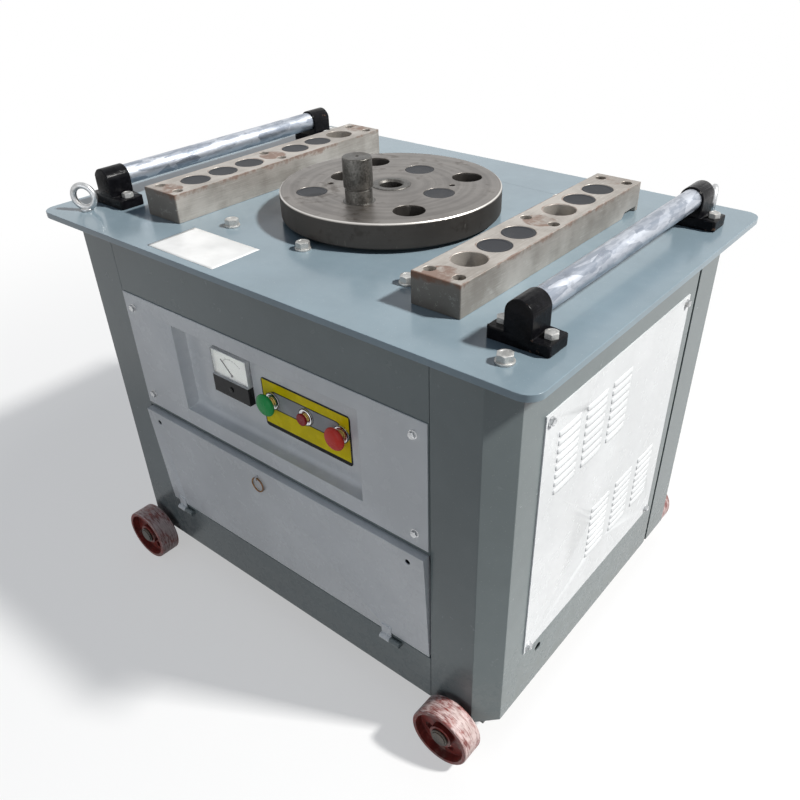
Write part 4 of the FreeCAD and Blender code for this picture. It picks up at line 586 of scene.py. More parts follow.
class Finish(Enum):
    """Finishes of the bender, each made once."""

    TABLE = Paint("table_paint", (0.232, 0.305, 0.350), (0.34, 0.39, 0.42), 0.16, 0.20, 0.0009)
    CABINET = Paint("cabinet_paint", (0.172, 0.203, 0.206), (0.26, 0.27, 0.26), 0.07, 0.24, 0.0012)
    WHITE = Paint("white_paint", (0.79, 0.805, 0.815), (0.66, 0.65, 0.62), 0.06, 0.26, 0.0014, 0.06)
    MOTOR = Paint("motor_paint", (0.06, 0.10, 0.14), (0.20, 0.20, 0.19), 0.3, 0.4, 0.0005)
    DISC = TurnedSteel(
        "disc_steel", (0.28, 0.262, 0.245), (0.150, 0.138, 0.128), (0.085, 0.068, 0.056),
        175 * MM,
    )
    BAR = MilledSteel("bar_steel", (0.52, 0.485, 0.445), (0.32, 0.288, 0.255), (0.16, 0.070, 0.040))
    PIN = Metal(
        "pin_steel", (0.15, 0.145, 0.135), (0.06, 0.057, 0.052), (0.05, 0.042, 0.035), 0.55,
        0.38, 0.85, 38.0,
    )
    SHAFT = Metal("shaft_steel", (0.55, 0.55, 0.54), (0.36, 0.35, 0.34), (0.12, 0.09, 0.07), 0.4, 0.28)
    AXLE = Metal(
        "axle_steel", (0.13, 0.115, 0.10), (0.05, 0.045, 0.04), (0.12, 0.06, 0.035), 0.5,
        0.42, 0.8,
    )
    BLACKENED = Metal(
        "black_steel", (0.055, 0.05, 0.048), (0.02, 0.02, 0.02), (0.14, 0.07, 0.04), 0.5,
        0.45, 0.7,
    )
    RUSTY = Metal(
        "rusty_wire", (0.32, 0.17, 0.07), (0.14, 0.06, 0.03), (0.45, 0.30, 0.12), 0.5, 0.6,
        0.35, 160.0, 0.0003,
    )
    ZINC = Metal(
        "zinc_plate", (0.70, 0.71, 0.72), (0.42, 0.43, 0.44), (0.16, 0.14, 0.12), 0.45, 0.30,
        0.9, 90.0, 0.0002,
    )
    ZINC_PALE = Metal(
        "zinc_pale", (0.62, 0.62, 0.60), (0.40, 0.40, 0.39), (0.25, 0.2, 0.16), 0.30, 0.42,
        0.6, 90.0, 0.0003,
    )
    TUBE = Galvanised("galvanised", (0.56, 0.59, 0.645), (0.27, 0.305, 0.365))
    PLUG = Moulded(
        "dark_plug", (0.022, 0.024, 0.029), (0.11, 0.108, 0.105), 0.18, 0.45, 500.0, 0.00006,
        0.14,
    )
    BLACK_CASTING = BlackCasting("black_casting", (0.004, 0.004, 0.005))
    WHEEL = WheelCasting("red_casting", (0.235, 0.030, 0.022), (0.68, 0.55, 0.53))
    GREY_CASTING = Metal(
        "grey_casting", (0.14, 0.15, 0.16), (0.08, 0.09, 0.10), (0.06, 0.05, 0.04), 0.5, 0.6,
        0.2, 50.0, 0.0006,
    )
    BRONZE = Metal("bronze", (0.60, 0.40, 0.17), (0.38, 0.23, 0.09), (0.12, 0.08, 0.04), 0.4, 0.3)
    BRASS = Metal("button_brass", (0.70, 0.52, 0.16), (0.48, 0.33, 0.09), (0.16, 0.11, 0.05), 0.3, 0.24)
    CHROME = Metal(
        "button_chrome", (0.74, 0.74, 0.74), (0.56, 0.56, 0.57), (0.2, 0.19, 0.18), 0.25,
        0.16,
    )
    RUBBER = Moulded("black_rubber", (0.015, 0.015, 0.015), (0.2, 0.19, 0.17), 0.35, 0.65)
    YELLOW = LabelPlate("yellow_plate")
    BLACK_PLASTIC = Moulded("black_plastic", (0.014, 0.014, 0.015), (0.3, 0.29, 0.28), 0.10, 0.24)
    GREEN_PLASTIC = Moulded("green_plastic", (0.016, 0.38, 0.090), (0.35, 0.44, 0.36), 0.08, 0.27)
    RED_PLASTIC = Moulded("red_plastic", (0.80, 0.045, 0.030), (0.62, 0.40, 0.36), 0.08, 0.27)
    DEEP_RED_PLASTIC = Moulded("deep_red_plastic", (0.42, 0.016, 0.026), (0.40, 0.28, 0.26), 0.12, 0.25)
    DIAL = Moulded("dial_card", (0.80, 0.80, 0.77), (0.6, 0.58, 0.52), 0.10, 0.5)
    INK = Moulded("dial_ink", (0.015, 0.015, 0.018), (0.1, 0.1, 0.1), 0.05, 0.5)
    VINYL = Moulded("bare_label", (0.82, 0.82, 0.81), (0.60, 0.59, 0.56), 0.14, 0.34, 260.0, 0.00005)
    METER = MeterCase("meter_case")
    WINDOW = ClearWindow("clear_window")

    def material(self) -> bpy.types.Material:
        """Material of this finish, made at its first use."""
        return bpy.data.materials.get("look_" + self.value.name) or self.value.make()


# --------------------------------------------------------------------- numpy surfaces
def rounded_profile(points: Sequence[Sequence[float]], radius: float, steps: int = 5) -> np.ndarray:
    """Profile whose inner corners are rounded.

    Each corner is replaced by a quadratic Bezier arc: it starts and ends at the given
    distance from the corner, or at half of a shorter side, with the corner as its control.

    Args:
        points: Corners of the profile, the first and last of which stay sharp.
        radius: Distance from a corner at which its arc starts.
        steps: Points along each arc.

    Returns:
        Array of profile points.
    """
    p = np.asarray(points, float)
    before, corner, after = p[:-2], p[1:-1], p[2:]
    back, ahead = before - corner, after - corner
    back_size = np.linalg.norm(back, axis=1, keepdims=True)
    ahead_size = np.linalg.norm(ahead, axis=1, keepdims=True)
    reach = np.minimum(radius, 0.49 * np.minimum(back_size, ahead_size))
    start = corner + back / back_size * reach
    end = corner + ahead / ahead_size * reach
    s = np.linspace(0.0, 1.0, steps)[None, :, None]
    arcs = (1 - s) ** 2 * start[:, None] + 2 * s * (1 - s) * corner[:, None] + s**2 * end[:, None]
    return np.vstack([p[:1], arcs.reshape(-1, 2), p[-1:]])


def drum(radius: float, low: float, high: float, edge: float) -> np.ndarray:
    """Profile of a plain round drum between two heights, its edges rounded by a little."""
    return rounded_profile([(0, low), (radius, low), (radius, high), (0, high)], edge)


class Axis(Enum):
    """Directions that a turned form can be turned about: the axis, then its two sides."""

    X = ((1, 0, 0), (0, 1, 0), (0, 0, 1))
    Y = ((0, 1, 0), (0, 0, 1), (1, 0, 0))
    Z = ((0, 0, 1), (1, 0, 0), (0, 1, 0))
    MINUS_X = ((-1, 0, 0), (0, 0, 1), (0, 1, 0))
    MINUS_Y = ((0, -1, 0), (1, 0, 0), (0, 0, 1))

    def frame(self) -> np.ndarray:
        """The three directions as rows."""
        return np.array(self.value, float)


class Shape:
    """Grids of points, in millimetres, gathered into one piece."""

    def __init__(self) -> None:
        """Start with no points."""
        self.points: list[np.ndarray] = []
        self.faces: list[np.ndarray] = []
        self.count = 0

    def grid(self, points: np.ndarray, wrap_u: bool = False, wrap_v: bool = False) -> Shape:
        """Add a surface given by points on a grid.

        Args:
            points: Array of shape (rows, columns, 3).
            wrap_u: Whether the last row joins the first.
            wrap_v: Whether the last column joins the first.

        Returns:
            This shape.
        """
        rows, columns = points.shape[:2]
        index = np.arange(rows * columns).reshape(rows, columns) + self.count
        if wrap_u:
            index = np.vstack([index, index[:1]])
        if wrap_v:
            index = np.hstack([index, index[:, :1]])
        quads = np.stack([index[:-1, :-1], index[:-1, 1:], index[1:, 1:], index[1:, :-1]], axis=-1)
        self.points.append(points.reshape(-1, 3))
        self.faces.append(quads.reshape(-1, 4))
        self.count += rows * columns
        return self

    def lathe(self, profile: np.ndarray, centre: Sequence[float], axis: Axis, sides: int = 96) -> Shape:
        """Add a turned form: each (radius, height) of the profile becomes a ring about the axis."""
        frame = axis.frame()
        turn = np.linspace(0.0, 2 * np.pi, sides, endpoint=False)
        ring = np.cos(turn)[:, None] * frame[1] + np.sin(turn)[:, None] * frame[2]
        p = np.asarray(profile, float)
        points = np.asarray(centre, float) + p[:, None, :1] * ring[None] + p[:, None, 1:] * frame[0]
        return self.grid(points, wrap_v=True)

    def sweep(
        self, path: np.ndarray, radius: float, up: Sequence[float], sides: int = 20, closed: bool = False
    ) -> Shape:
        """Add a round bar along a path.

        The section's first direction is the path's direction crossed with up, the second
        is that crossed with the path's direction; each section is a circle on the two.

        Args:
            path: Points of the path.
            radius: Radius of the bar.
            up: Direction that the path never follows.
            sides: Points round the bar.
            closed: Whether the path ends where it starts.

        Returns:
            This shape.
        """
        if closed:
            ahead = np.roll(path, -1, axis=0) - np.roll(path, 1, axis=0)
        else:
            ahead = np.gradient(path, axis=0)
        ahead = ahead / np.linalg.norm(ahead, axis=1, keepdims=True)
        side = np.cross(ahead, np.asarray(up, float))
        side = side / np.linalg.norm(side, axis=1, keepdims=True)
        other = np.cross(side, ahead)
        turn = np.linspace(0.0, 2 * np.pi, sides, endpoint=False)[None, :, None]
        points = path[:, None] + radius * (np.cos(turn) * side[:, None] + np.sin(turn) * other[:, None])
        if not closed:
            first, last = (np.repeat(end[:, None], sides, 1) for end in (path[:1], path[-1:]))
            points = np.concatenate([first, points, last])
        return self.grid(points, wrap_u=closed, wrap_v=True)

    def hex_head(self, centre: Sequence[float], axis: Axis, flats: float, height: float) -> Shape:
        """Add a hexagonal head.

        The outline's radius at an angle is the half width across the flats divided by the
        cosine of the angle from the nearest flat; the top falls away outside a circle, as
        the turned chamfer of a real head does.
        """
        frame = axis.frame()
        turn = np.linspace(0.0, 2 * np.pi, 72, endpoint=False)
        half, flat_share, fall, dish = flats / 2, 0.93, 0.55, 0.3
        outline = half / np.cos(np.mod(turn, np.pi / 3) - np.pi / 6)
        flat = np.full_like(turn, half * flat_share)
        shoulder = height - np.maximum(0.0, outline - half * flat_share) * fall
        rings = [
            (np.zeros_like(turn), np.zeros_like(turn)),
            (outline, np.zeros_like(turn)),
            (outline, shoulder),
            (flat, np.full_like(turn, height)),
            (flat * 0.75, np.full_like(turn, height)),
            (flat * 0.72, np.full_like(turn, height - dish)),
            (np.zeros_like(turn), np.full_like(turn, height - dish)),
        ]
        radius = np.array([r for r, _ in rings])[..., None]
        rise = np.array([h for _, h in rings])[..., None]
        side = np.cos(turn)[:, None] * frame[1] + np.sin(turn)[:, None] * frame[2]
        return self.grid(np.asarray(centre, float) + radius * side[None] + rise * frame[0], wrap_v=True)

    def box(self, low: Sequence[float], high: Sequence[float]) -> Shape:
        """Add a closed block: a ring of four corners carried from its foot to its top."""
        (x0, y0, z0), (x1, y1, z1) = low, high
        ring = np.array([(x0, y0), (x1, y0), (x1, y1), (x0, y1)], float)
        middle = np.repeat([[(x0 + x1) / 2, (y0 + y1) / 2]], 4, axis=0)
        rows = [(middle, z0), (ring, z0), (ring, z1), (middle, z1)]
        points = np.array([np.column_stack([flat, np.full(4, z)]) for flat, z in rows])
        return self.grid(points, wrap_v=True)

    def piece(self, name: str, finish: Finish, body: str, slot: str | None = None,
              nodes: Sequence[str] = (), smooth: float = 32.0) -> bpy.types.Object:
        """Make the mesh, weld its seams and poles, and put it on its body.

        Args:
            name: Name of the piece.
            finish: Its finish.
            body: CAD body that it moves with.
            slot: Material slot of the record; not used.
            nodes: CAD nodes that it stands for.
            smooth: Largest angle in degrees that is shaded as a curve.

        Returns:
            The finished object.
        """
        mesh = bpy.data.meshes.new(name)
        mesh.from_pydata(np.vstack(self.points) * MM, [], np.vstack(self.faces).tolist())
        weld(mesh, MERGE, True)
        return dress(mesh, name, finish, body, nodes, smooth)


def weld(mesh: bpy.types.Mesh, reach: float, outwards: bool) -> None:
    """Merge points that coincide and drop faces that vanish.

    Args:
        mesh: Mesh to clean.
        reach: Distance within which points merge.
        outwards: Whether to work out the faces' directions again.
    """
    work = bmesh.new()
    work.from_mesh(mesh)
    bmesh.ops.remove_doubles(work, verts=work.verts, dist=reach)
    bmesh.ops.dissolve_degenerate(work, edges=work.edges, dist=reach)
    if outwards:
        bmesh.ops.recalc_face_normals(work, faces=work.faces)
    work.to_mesh(mesh)
    work.free()
    mesh.update()


def dress(mesh: bpy.types.Mesh, name: str, finish: Finish, body: str,
          nodes: Sequence[str], smooth: float) -> bpy.types.Object:
    """Turn a mesh into a piece with its finish, body and replaced nodes."""
    piece = bpy.data.objects.new(name, mesh)
    bpy.context.scene.collection.objects.link(piece)
    mesh.materials.clear()
    mesh.materials.append(finish.material())
    if len(mesh.polygons):
        mesh.polygons.foreach_set("material_index", np.zeros(len(mesh.polygons), np.int32))
    mesh.shade_smooth()
    mesh.set_sharp_from_angle(angle=math.radians(smooth))
    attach(piece, body)
    if nodes:
        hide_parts(*nodes)
    LOG.info("piece %s on %s: %d faces", name, body, len(mesh.polygons))
    return piece


def refine(frame: Frame, node: str, finish: Finish, body: str,
           bevel: float = 0.6, segments: int = 2, flatten: bool = True) -> bpy.types.Object:
    """Stand a copy of a CAD node in its place, with welded points and rounded edges.

    Args:
        node: Name of the CAD node.
        finish: Finish of the copy.
        body: Body that the node belongs to.
        bevel: Width of the rounding in millimetres; none is added at zero.
        segments: Facets across the rounding.
        flatten: Whether triangles in one plane become one face, which suits plates with few holes.

    Returns:
        The finished object.
    """
    mesh = frame["nodes"][node].data.copy()
    weld(mesh, CAD_MERGE, False)
    if flatten:
        work = bmesh.new()
        work.from_mesh(mesh)
        bmesh.ops.dissolve_limit(work, angle_limit=SAME_PLANE, verts=work.verts, edges=work.edges)
        work.to_mesh(mesh)
        work.free()
    piece = dress(mesh, node + "_piece", finish, body, [node], 32.0)
    if bevel > 0:
        rounding = piece.modifiers.new("rounding", "BEVEL")
        rounding.width = bevel * MM
        rounding.segments = segments
        rounding.limit_method = "ANGLE"
        rounding.angle_limit = SHARP_EDGE
        rounding.use_clamp_overlap = False
        rounding.harden_normals = True
        rounding.miter_outer = "MITER_ARC"
    return piece


def paint_node(frame: Frame, node: str, finish: Finish) -> None:
    """Give a CAD node that stays in view its finish."""
    mesh = frame["nodes"][node].data
    mesh.materials.clear()
    mesh.materials.append(finish.material())
    LOG.info("node %s keeps its CAD shape", node)


# --------------------------------------------------------------------- sub-assemblies
@dataclass
class TableTop:
    """Table plate with its bolts, lifting eyes and bare label."""

    top: float = 700
    bolt_flats: float = 19
    bolt_head: float = 9
    washer: tuple[float, float] = (12, 3)
    small_flats: float = 16
    small_head: float = 7
    corner: tuple[float, float] = (409, 291)
    gearbox_x: tuple[float, ...] = (-160, -4, 192)
    gearbox_y: float = 195
    roller_x: float = 402
    bracket_y: float = 236
    bracket_foot: float = 16
    bracket_bolts: float = 32
    eye_ring: float = 18
    eye_wire: float = 5
    eye_height: float = 23.3
    eye_turns: tuple[float, float] = (30.0, 112.0)
    label: tuple[float, float, float, float] = (-202, -53, -323, -235)

    def build(self, frame: Frame) -> None:
        """Build the plate and everything small that stands on it."""
        refine(frame, "table_plate", Finish.TABLE, "frame", 1.0, 3)
        self.bolts()
        self.eyes()
        self.bare_label()

    def bolts(self) -> None:
        """Hex bolts: two corners and the gearbox on washers, the brackets' smaller ones on their feet."""
        shape = Shape()
        x, y = self.corner
        radius, thick = self.washer
        washer = drum(radius, 0, thick, 0.6)
        places = [(x, -y), (-x, y)]
        places += [(gx, side * self.gearbox_y) for gx in self.gearbox_x for side in (-1, 1)]
        for px, py in places:
            shape.lathe(washer, (px, py, self.top), Axis.Z, 48)
            shape.hex_head((px, py, self.top + thick), Axis.Z, self.bolt_flats, self.bolt_head)
        foot = self.top + self.bracket_foot
        for side, end, way in itertools.product((-1, 1), repeat=3):
            place = (side * self.roller_x + way * self.bracket_bolts, end * self.bracket_y, foot)
            shape.hex_head(place, Axis.Z, self.small_flats, self.small_head)
        shape.piece("table_bolt_heads", Finish.ZINC_PALE, "frame", "zinc", ["table_bolts"])

    def eyes(self) -> None:
        """Lifting eyes: a ring carried round a circle that stands on a turned collar."""
        shape = Shape()
        x, y = self.corner
        upright = np.array([0.0, 0.0, 1.0])
        for turn, (cx, cy) in zip(np.radians(self.eye_turns), ((-x, -y), (x, y))):
            facing = np.array([math.sin(turn), -math.cos(turn), 0.0])
            across = np.array([math.cos(turn), math.sin(turn), 0.0])
            angle = np.linspace(0.0, 2 * np.pi, 72, endpoint=False)[:, None]
            centre = np.array([cx, cy, self.top + self.eye_height])
            path = centre + self.eye_ring * (np.cos(angle) * across + np.sin(angle) * upright)
            shape.sweep(path, self.eye_wire, facing, 20, True)
            collar = rounded_profile(
                [(0, 0), (10, 0), (10, 4.5), (7, 5.5), (5.5, 7), (0, 7)],
                1.0,
            )
            shape.lathe(collar, (cx, cy, self.top), Axis.Z, 48)
        shape.piece("lifting_eyes", Finish.ZINC, "frame", "zinc", ["eye_bolts"], 60.0)

    def bare_label(self) -> None:
        """Blank white vinyl on the plate: a thin sheet whose long edges lift a little."""
        x0, x1, y0, y1 = self.label
        u, v = np.meshgrid(np.linspace(0, 1, 25), np.linspace(0, 1, 17), indexing="ij")
        lift = 0.22 + 0.12 * np.sin(9 * u) * np.cos(7 * v) ** 2
        top = np.stack([x0 + (x1 - x0) * u, y0 + (y1 - y0) * v, self.top + lift], axis=-1)
        piece = Shape().grid(top).piece("bare_label", Finish.VINYL, "frame", "white_paint")
        wall = piece.modifiers.new("thickness", "SOLIDIFY")
        wall.thickness = 0.18 * MM
        wall.offset = -1.0


@dataclass
class HoleBars:
    """Two milled bars with their plugs and sunk screws."""

    centre: float = 272
    top: float = 745
    first: float = 54.5
    pitch: float = 57
    plug_radius: float = 23.95
    sunk: float = 0.6
    plug_length: float = 30
    left_open: tuple[int, ...] = (5,)
    right_open: tuple[int, ...] = (0, 3)

    def build(self, frame: Frame) -> None:
        """Build both bars."""
        for name in ("left_hole_bar", "right_hole_bar"):
            refine(frame, name, Finish.BAR, "frame", 1.0, 3)
        refine(frame, "bar_screws", Finish.BLACKENED, "frame", 0.3, 2)
        reach = self.first + self.pitch * np.arange(3)
        ys = np.concatenate([-reach[::-1], reach])
        shape = Shape()
        for centre, gaps in ((-self.centre, self.left_open), (self.centre, self.right_open)):
            for index, y in enumerate(ys):
                if index not in gaps:
                    place = (centre, float(y), self.top - self.sunk)
                    add_plug(shape, place, self.plug_radius, self.plug_length)
        shape.piece("bar_plug_caps", Finish.PLUG, "frame", "dark_plug", ["bar_plugs"], 40.0)


def add_plug(shape: Shape, place: Sequence[float], radius: float, length: float) -> None:
    """Add a moulded plug: a flat face with a rounded edge and a faint dish, place at its top centre."""
    x, y, z = place
    profile = rounded_profile(
        [(0, -length), (radius, -length), (radius, 0.0), (radius * 0.86, 0.15), (radius * 0.80, -0.25),
         (0, -0.25)],
        0.8,
    )
    shape.lathe(profile, (x, y, z), Axis.Z, 80)


@dataclass
class Rollers:
    """Two galvanised rollers in four cast brackets."""

    centre: float = 402
    height: float = 741
    radius: float = 16
    wall: float = 3
    reach: float = 246.4

    def build(self, frame: Frame) -> None:
        """Build the rollers as turned tubes and round the brackets' cast edges."""
        for side, name in ((-1, "left_roller"), (1, "right_roller")):
            inner = self.radius - self.wall
            u = np.linspace(-self.reach, self.reach, 60)
            outside = np.column_stack([self.radius + 0.07 * np.sin(u * 0.071) * np.cos(u * 0.029), u])
            inside = np.column_stack([np.full(60, inner), u[::-1]])
            profile = np.vstack([outside, inside, outside[:1]])
            Shape().lathe(profile, (side * self.centre, 0, self.height), Axis.Y, 72).piece(
                name + "_tube", Finish.TUBE, name, "galvanised", [name], 50.0
            )
        for name in ("left_brackets", "right_brackets"):
            refine(frame, name, Finish.BLACK_CASTING, "frame", 1.6, 3, False)


@dataclass
class BendingHead:
    """Disc, plugs, sleeve and bending pin."""

    top: float = 745
    bottom: float = 706
    inner_circle: float = 87.5
    outer_circle: float = 125
    turn: float = 7.4
    plug_radius: float = 23.95
    pin_angle: float = 277.4

    def build(self, frame: Frame) -> None:
        """Build the disc's pieces; every turned form is a profile of radius and height."""
        refine(frame, "bending_disc", Finish.DISC, "disc", 0.9, 3)
        self.plugs()
        self.sleeve()
        self.pin()
        for node, finish in (("main_shaft", Finish.SHAFT), ("worm_wheel", Finish.BRONZE)):
            paint_node(frame, node, finish)

    def plugs(self) -> None:
        """Plugs of the two inner sockets and the outer one that are out of use."""
        shape = Shape()
        for radius, angle in ((self.inner_circle, 0), (self.inner_circle, 90), (self.outer_circle, 225)):
            turn = math.radians(self.turn + angle)
            place = (radius * math.cos(turn), radius * math.sin(turn), self.top - 0.6)
            add_plug(shape, place, self.plug_radius, 30)
        shape.piece("disc_plug_caps", Finish.PLUG, "disc", "dark_plug", ["disc_plugs"], 40.0)

    def sleeve(self) -> None:
        """Sleeve with a wide bevelled mouth."""
        outer, bore = 31.5, 18
        profile = rounded_profile(
            [(bore, self.bottom), (outer, self.bottom), (outer, self.top), (outer - 1, self.top + 1),
             (bore + 3, self.top + 1), (bore, self.top - 2), (bore, self.bottom)],
            0.5,
        )
        Shape().lathe(profile, (0, 0, 0), Axis.Z).piece(
            "centre_sleeve_ring", Finish.PIN, "disc", "disc_steel", ["centre_sleeve"], 28.0
        )

    def pin(self) -> None:
        """Bending pin: shank, neck, groove, head and centre drill."""
        turn = math.radians(self.pin_angle)
        x, y = self.inner_circle * math.cos(turn), self.inner_circle * math.sin(turn)
        shank, neck, head = 23.9, 20.5, 22
        low = self.bottom + 4.3
        groove = self.top + 19
        tip = self.top + 65
        profile = rounded_profile(
            [(0, low), (shank, low), (shank, self.top), (neck, self.top), (neck, groove),
             (head - 3, groove), (head - 3, groove + 3), (head, groove + 3),
             (head, tip - 1.2), (head - 1.2, tip), (3.5, tip), (0, tip - 3.5)],
            0.7,
        )
        Shape().lathe(profile, (x, y, 0), Axis.Z).piece(
            "bending_pin_piece", Finish.PIN, "bending_pin", "pin_steel", ["bending_pin"], 30.0
        )


@dataclass
class Cabinet:
    """Sheet-metal cabinet: walls, rails, panels with louvres, bolts and floor."""

    half_length: float = 432
    panel: float = 2
    vent_y: tuple[float, float] = (-227, 204)
    vent_z: tuple[float, float] = (161, 602)
    inset: float = 11
    slot_length: float = 58
    slot_height: float = 4
    pitch: float = 13.7
    rows: int = 8
    upper: tuple[float, float, float] = (-161.5, 75, 456)
    lower: tuple[float, float, float] = (-24, 80, 233)
    washer: tuple[float, float] = (7, 1.2)
    hood_rise: float = 1.8
    hood_width: float = 7.5
    sheets: tuple[str, ...] = (
        "right_side_wall", "left_side_wall", "rear_frame", "front_top_rail", "front_bottom_rail"
    )

    def build(self, frame: Frame) -> None:
        """Build the sheets, the louvres and the bolts."""
        for node in self.sheets:
            refine(frame, node, Finish.CABINET, "frame", 0.9, 3)
        for node in ("right_vent_panel", "left_vent_panel"):
            refine(frame, node, Finish.WHITE, "frame", 0.0, 1, False)
        refine(frame, "rear_panel", Finish.WHITE, "frame", 0.5, 2)
        for side, name in ((1, "right_louvres"), (-1, "left_louvres")):
            self.louvres(side, name)
        self.bolts()
        for node in ("floor_plate", "axle_brackets", "motor_base"):
            paint_node(frame, node, Finish.CABINET)

    def louvres(self, side: int, name: str) -> None:
        """Pressed hoods over the slots.

        A hood's height out of the panel is the product of a half sine along its length,
        raised to a third so that its ends are steep, and a rise down its width.
        """
        shape = Shape()
        u, v = np.meshgrid(np.linspace(0, 1, 21), np.linspace(0, 1, 7), indexing="ij")
        out = self.hood_rise * np.sin(np.pi * u) ** 0.35 * np.sin(0.5 * np.pi * v)
        face = self.half_length + self.panel
        for first, pitch, low in (self.upper, self.lower):
            for column in range(3):
                for row in range(self.rows):
                    y = first + column * pitch + (u - 0.5) * self.slot_length
                    z = low + row * self.pitch + self.slot_height + 3.5 - v * self.hood_width
                    shape.grid(np.stack([side * (face + out), y, z], axis=-1))
        piece = shape.piece(name, Finish.WHITE, "frame", "white_paint", (), 50.0)
        wall = piece.modifiers.new("thickness", "SOLIDIFY")
        wall.thickness = 0.8 * MM
        wall.offset = 0.0

    def bolts(self) -> None:
        """Panel bolts with their washers."""
        places: list[tuple[Place, Axis]] = []
        for side, axis in ((1, Axis.X), (-1, Axis.MINUS_X)):
            for y in (self.vent_y[0] + self.inset, self.vent_y[1] - self.inset):
                for z in (self.vent_z[0] + self.inset, self.vent_z[1] - self.inset):
                    places.append(((side * (self.half_length + self.panel), y, z), axis))
        for x in (-373, 373):
            for z in (114, 631):
                places.append(((x, 316, z), Axis.Y))
        for x in (-296, 296):
            for z in (400.5, 567.5):
                places.append(((x, -316, z), Axis.MINUS_Y))
        shape = Shape()
        radius, thick = self.washer
        washer = drum(radius, 0, thick, 0.4)
        for place, axis in places:
            shape.lathe(washer, place, axis, 40)
            seat = np.asarray(place) + axis.frame()[0] * thick
            shape.hex_head(seat, axis, 10, 4.5)
        shape.piece("panel_bolt_heads", Finish.ZINC, "frame", "zinc", ["panel_bolts"])


@dataclass
class ControlNiche:
    """Control panel with the meter, the label plate and the buttons."""

    back: float = -292
    button_z: float = 490.5
    button_x: tuple[float, ...] = (1.5, 73.5, 145.5)
    meter_x: float = -86
    meter_z: float = 505
    dial_y: float = -295.5
    front: float = -303
    pivot_z: float = 503.5

    def build(self, frame: Frame) -> None:
        """Build the niche from back to front."""
        refine(frame, "control_panel", Finish.WHITE, "frame", 0.8, 3)
        refine(frame, "button_plate", Finish.YELLOW, "frame", 0.15, 1)
        self.collars(frame)
        self.mushroom("green_head", 0, Finish.GREEN_PLASTIC, "green_button", "green_plastic")
        self.mushroom("red_stop_head", 2, Finish.RED_PLASTIC, "red_stop_button", "red_plastic")
        self.small_button()
        self.meter(frame)

    def collars(self, frame: Frame) -> None:
        """Bright collars in front of the label plate; the blocks behind keep their CAD shape."""
        refine(frame, "button_bodies", Finish.BLACK_PLASTIC, "frame", 0.5, 2)
        shape = Shape()
        seat = self.back - 1
        for x in self.button_x:
            profile = rounded_profile(
                [(7.3, 0.02), (14.7, 0.02), (14.7, 3.0), (12.2, 4.6),
                 (7.3, 4.6), (7.3, 0.02)],
                0.7,
            )
            shape.lathe(profile, (x, seat, self.button_z), Axis.MINUS_Y, 64)
        shape.piece("button_collars", Finish.CHROME, "frame", "black_plastic", (), 32.0)

    def mushroom(self, name: str, index: int, finish: Finish, node: str, slot: str) -> None:
        """Mushroom head on a brass-coloured stem."""
        place = (self.button_x[index], self.back, self.button_z)
        r = 19
        head = rounded_profile(
            [(0, 14), (r - 5.5, 14), (r - 1, 15), (r, 19), (r * 0.82, 22.4),
             (r * 0.5, 24.2), (0, 25)],
            2.2, 7,
        )
        Shape().lathe(head, place, Axis.MINUS_Y).piece(name, finish, node, slot, [node], 50.0)
        stem = Shape().lathe(drum(7, 0.2, 14.5, 0.3), place, Axis.MINUS_Y, 48)
        stem.piece(name + "_stem", Finish.BRASS, node, slot)

    def small_button(self) -> None:
        """Small red button with a shallow dish in its face."""
        place = (self.button_x[1], self.back, self.button_z)
        r = 10
        head = rounded_profile(
            [(0, 9.5), (r, 9.5), (r, 13.2), (r - 1.5, 14), (r * 0.7, 13.7), (0, 13.2)],
            0.9, 6,
        )
        node, slot = "small_red_button", "red_plastic"
        shape = Shape().lathe(head, place, Axis.MINUS_Y, 72)
        shape.piece("small_red_head", Finish.DEEP_RED_PLASTIC, node, slot, [node], 40.0)
        stem = Shape().lathe(drum(7, 0.2, 9.8, 0.3), place, Axis.MINUS_Y, 48)
        stem.piece("small_red_stem", Finish.BRASS, node, slot)

    def meter(self, frame: Frame) -> None:
        """Meter: case, card with its scale, needle and window."""
        refine(frame, "voltmeter_case", Finish.METER, "frame", 0.0, 1, False)
        refine(frame, "voltmeter_needle", Finish.INK, "needle", 0.0)
        refine(frame, "voltmeter_window", Finish.WINDOW, "frame", 0.15, 2)
        card = self.dial_y - 0.05
        Shape().box(
            (self.meter_x - 40.2, card - 0.1, self.meter_z - 6.2),
            (self.meter_x + 40.2, card, self.meter_z + 37.2),
        ).piece("dial_card", Finish.DIAL, "frame", "black_plastic")
        self.scale(card - 0.1)
        knob = rounded_profile([(0, 0), (4.5, 0), (4.5, 1.6), (0, 1.9)], 0.5)
        Shape().lathe(
            knob, (self.meter_x, self.front, self.meter_z - 24), Axis.MINUS_Y, 40
        ).piece("zero_screw", Finish.BLACK_PLASTIC, "frame", "black_plastic", (), 35.0)

    def scale(self, card: float) -> None:
        """Scale of the dial: an arc with long and short ticks, all thin raised ink.

        An arc is an angle grid from 45 degrees left to 45 degrees right of upright between
        two radii; a tick is the same over a narrow angle.
        """
        shape = Shape()
        y = card - 0.04

        def band(r0: float, r1: float, a0: float, a1: float, count: int) -> None:
            """Add one band of the scale."""
            a, r = np.meshgrid(np.radians(np.linspace(a0, a1, count)), np.array([r0, r1]), indexing="ij")
            points = [self.meter_x + r * np.sin(a), np.full_like(a, y), self.pivot_z + r * np.cos(a)]
            shape.grid(np.stack(points, axis=-1))

        band(28.0, 28.35, -46, 46, 60)
        for k, angle in enumerate(np.linspace(-45, 45, 21)):
            outer = 31.4 if k % 5 == 0 else 29.8
            half = 0.45 if k % 5 == 0 else 0.25
            band(28.0, outer, angle - half, angle + half, 2)
        piece = shape.piece("dial_scale", Finish.INK, "frame", "black_plastic")
        wall = piece.modifiers.new("thickness", "SOLIDIFY")
        wall.thickness = 0.05 * MM


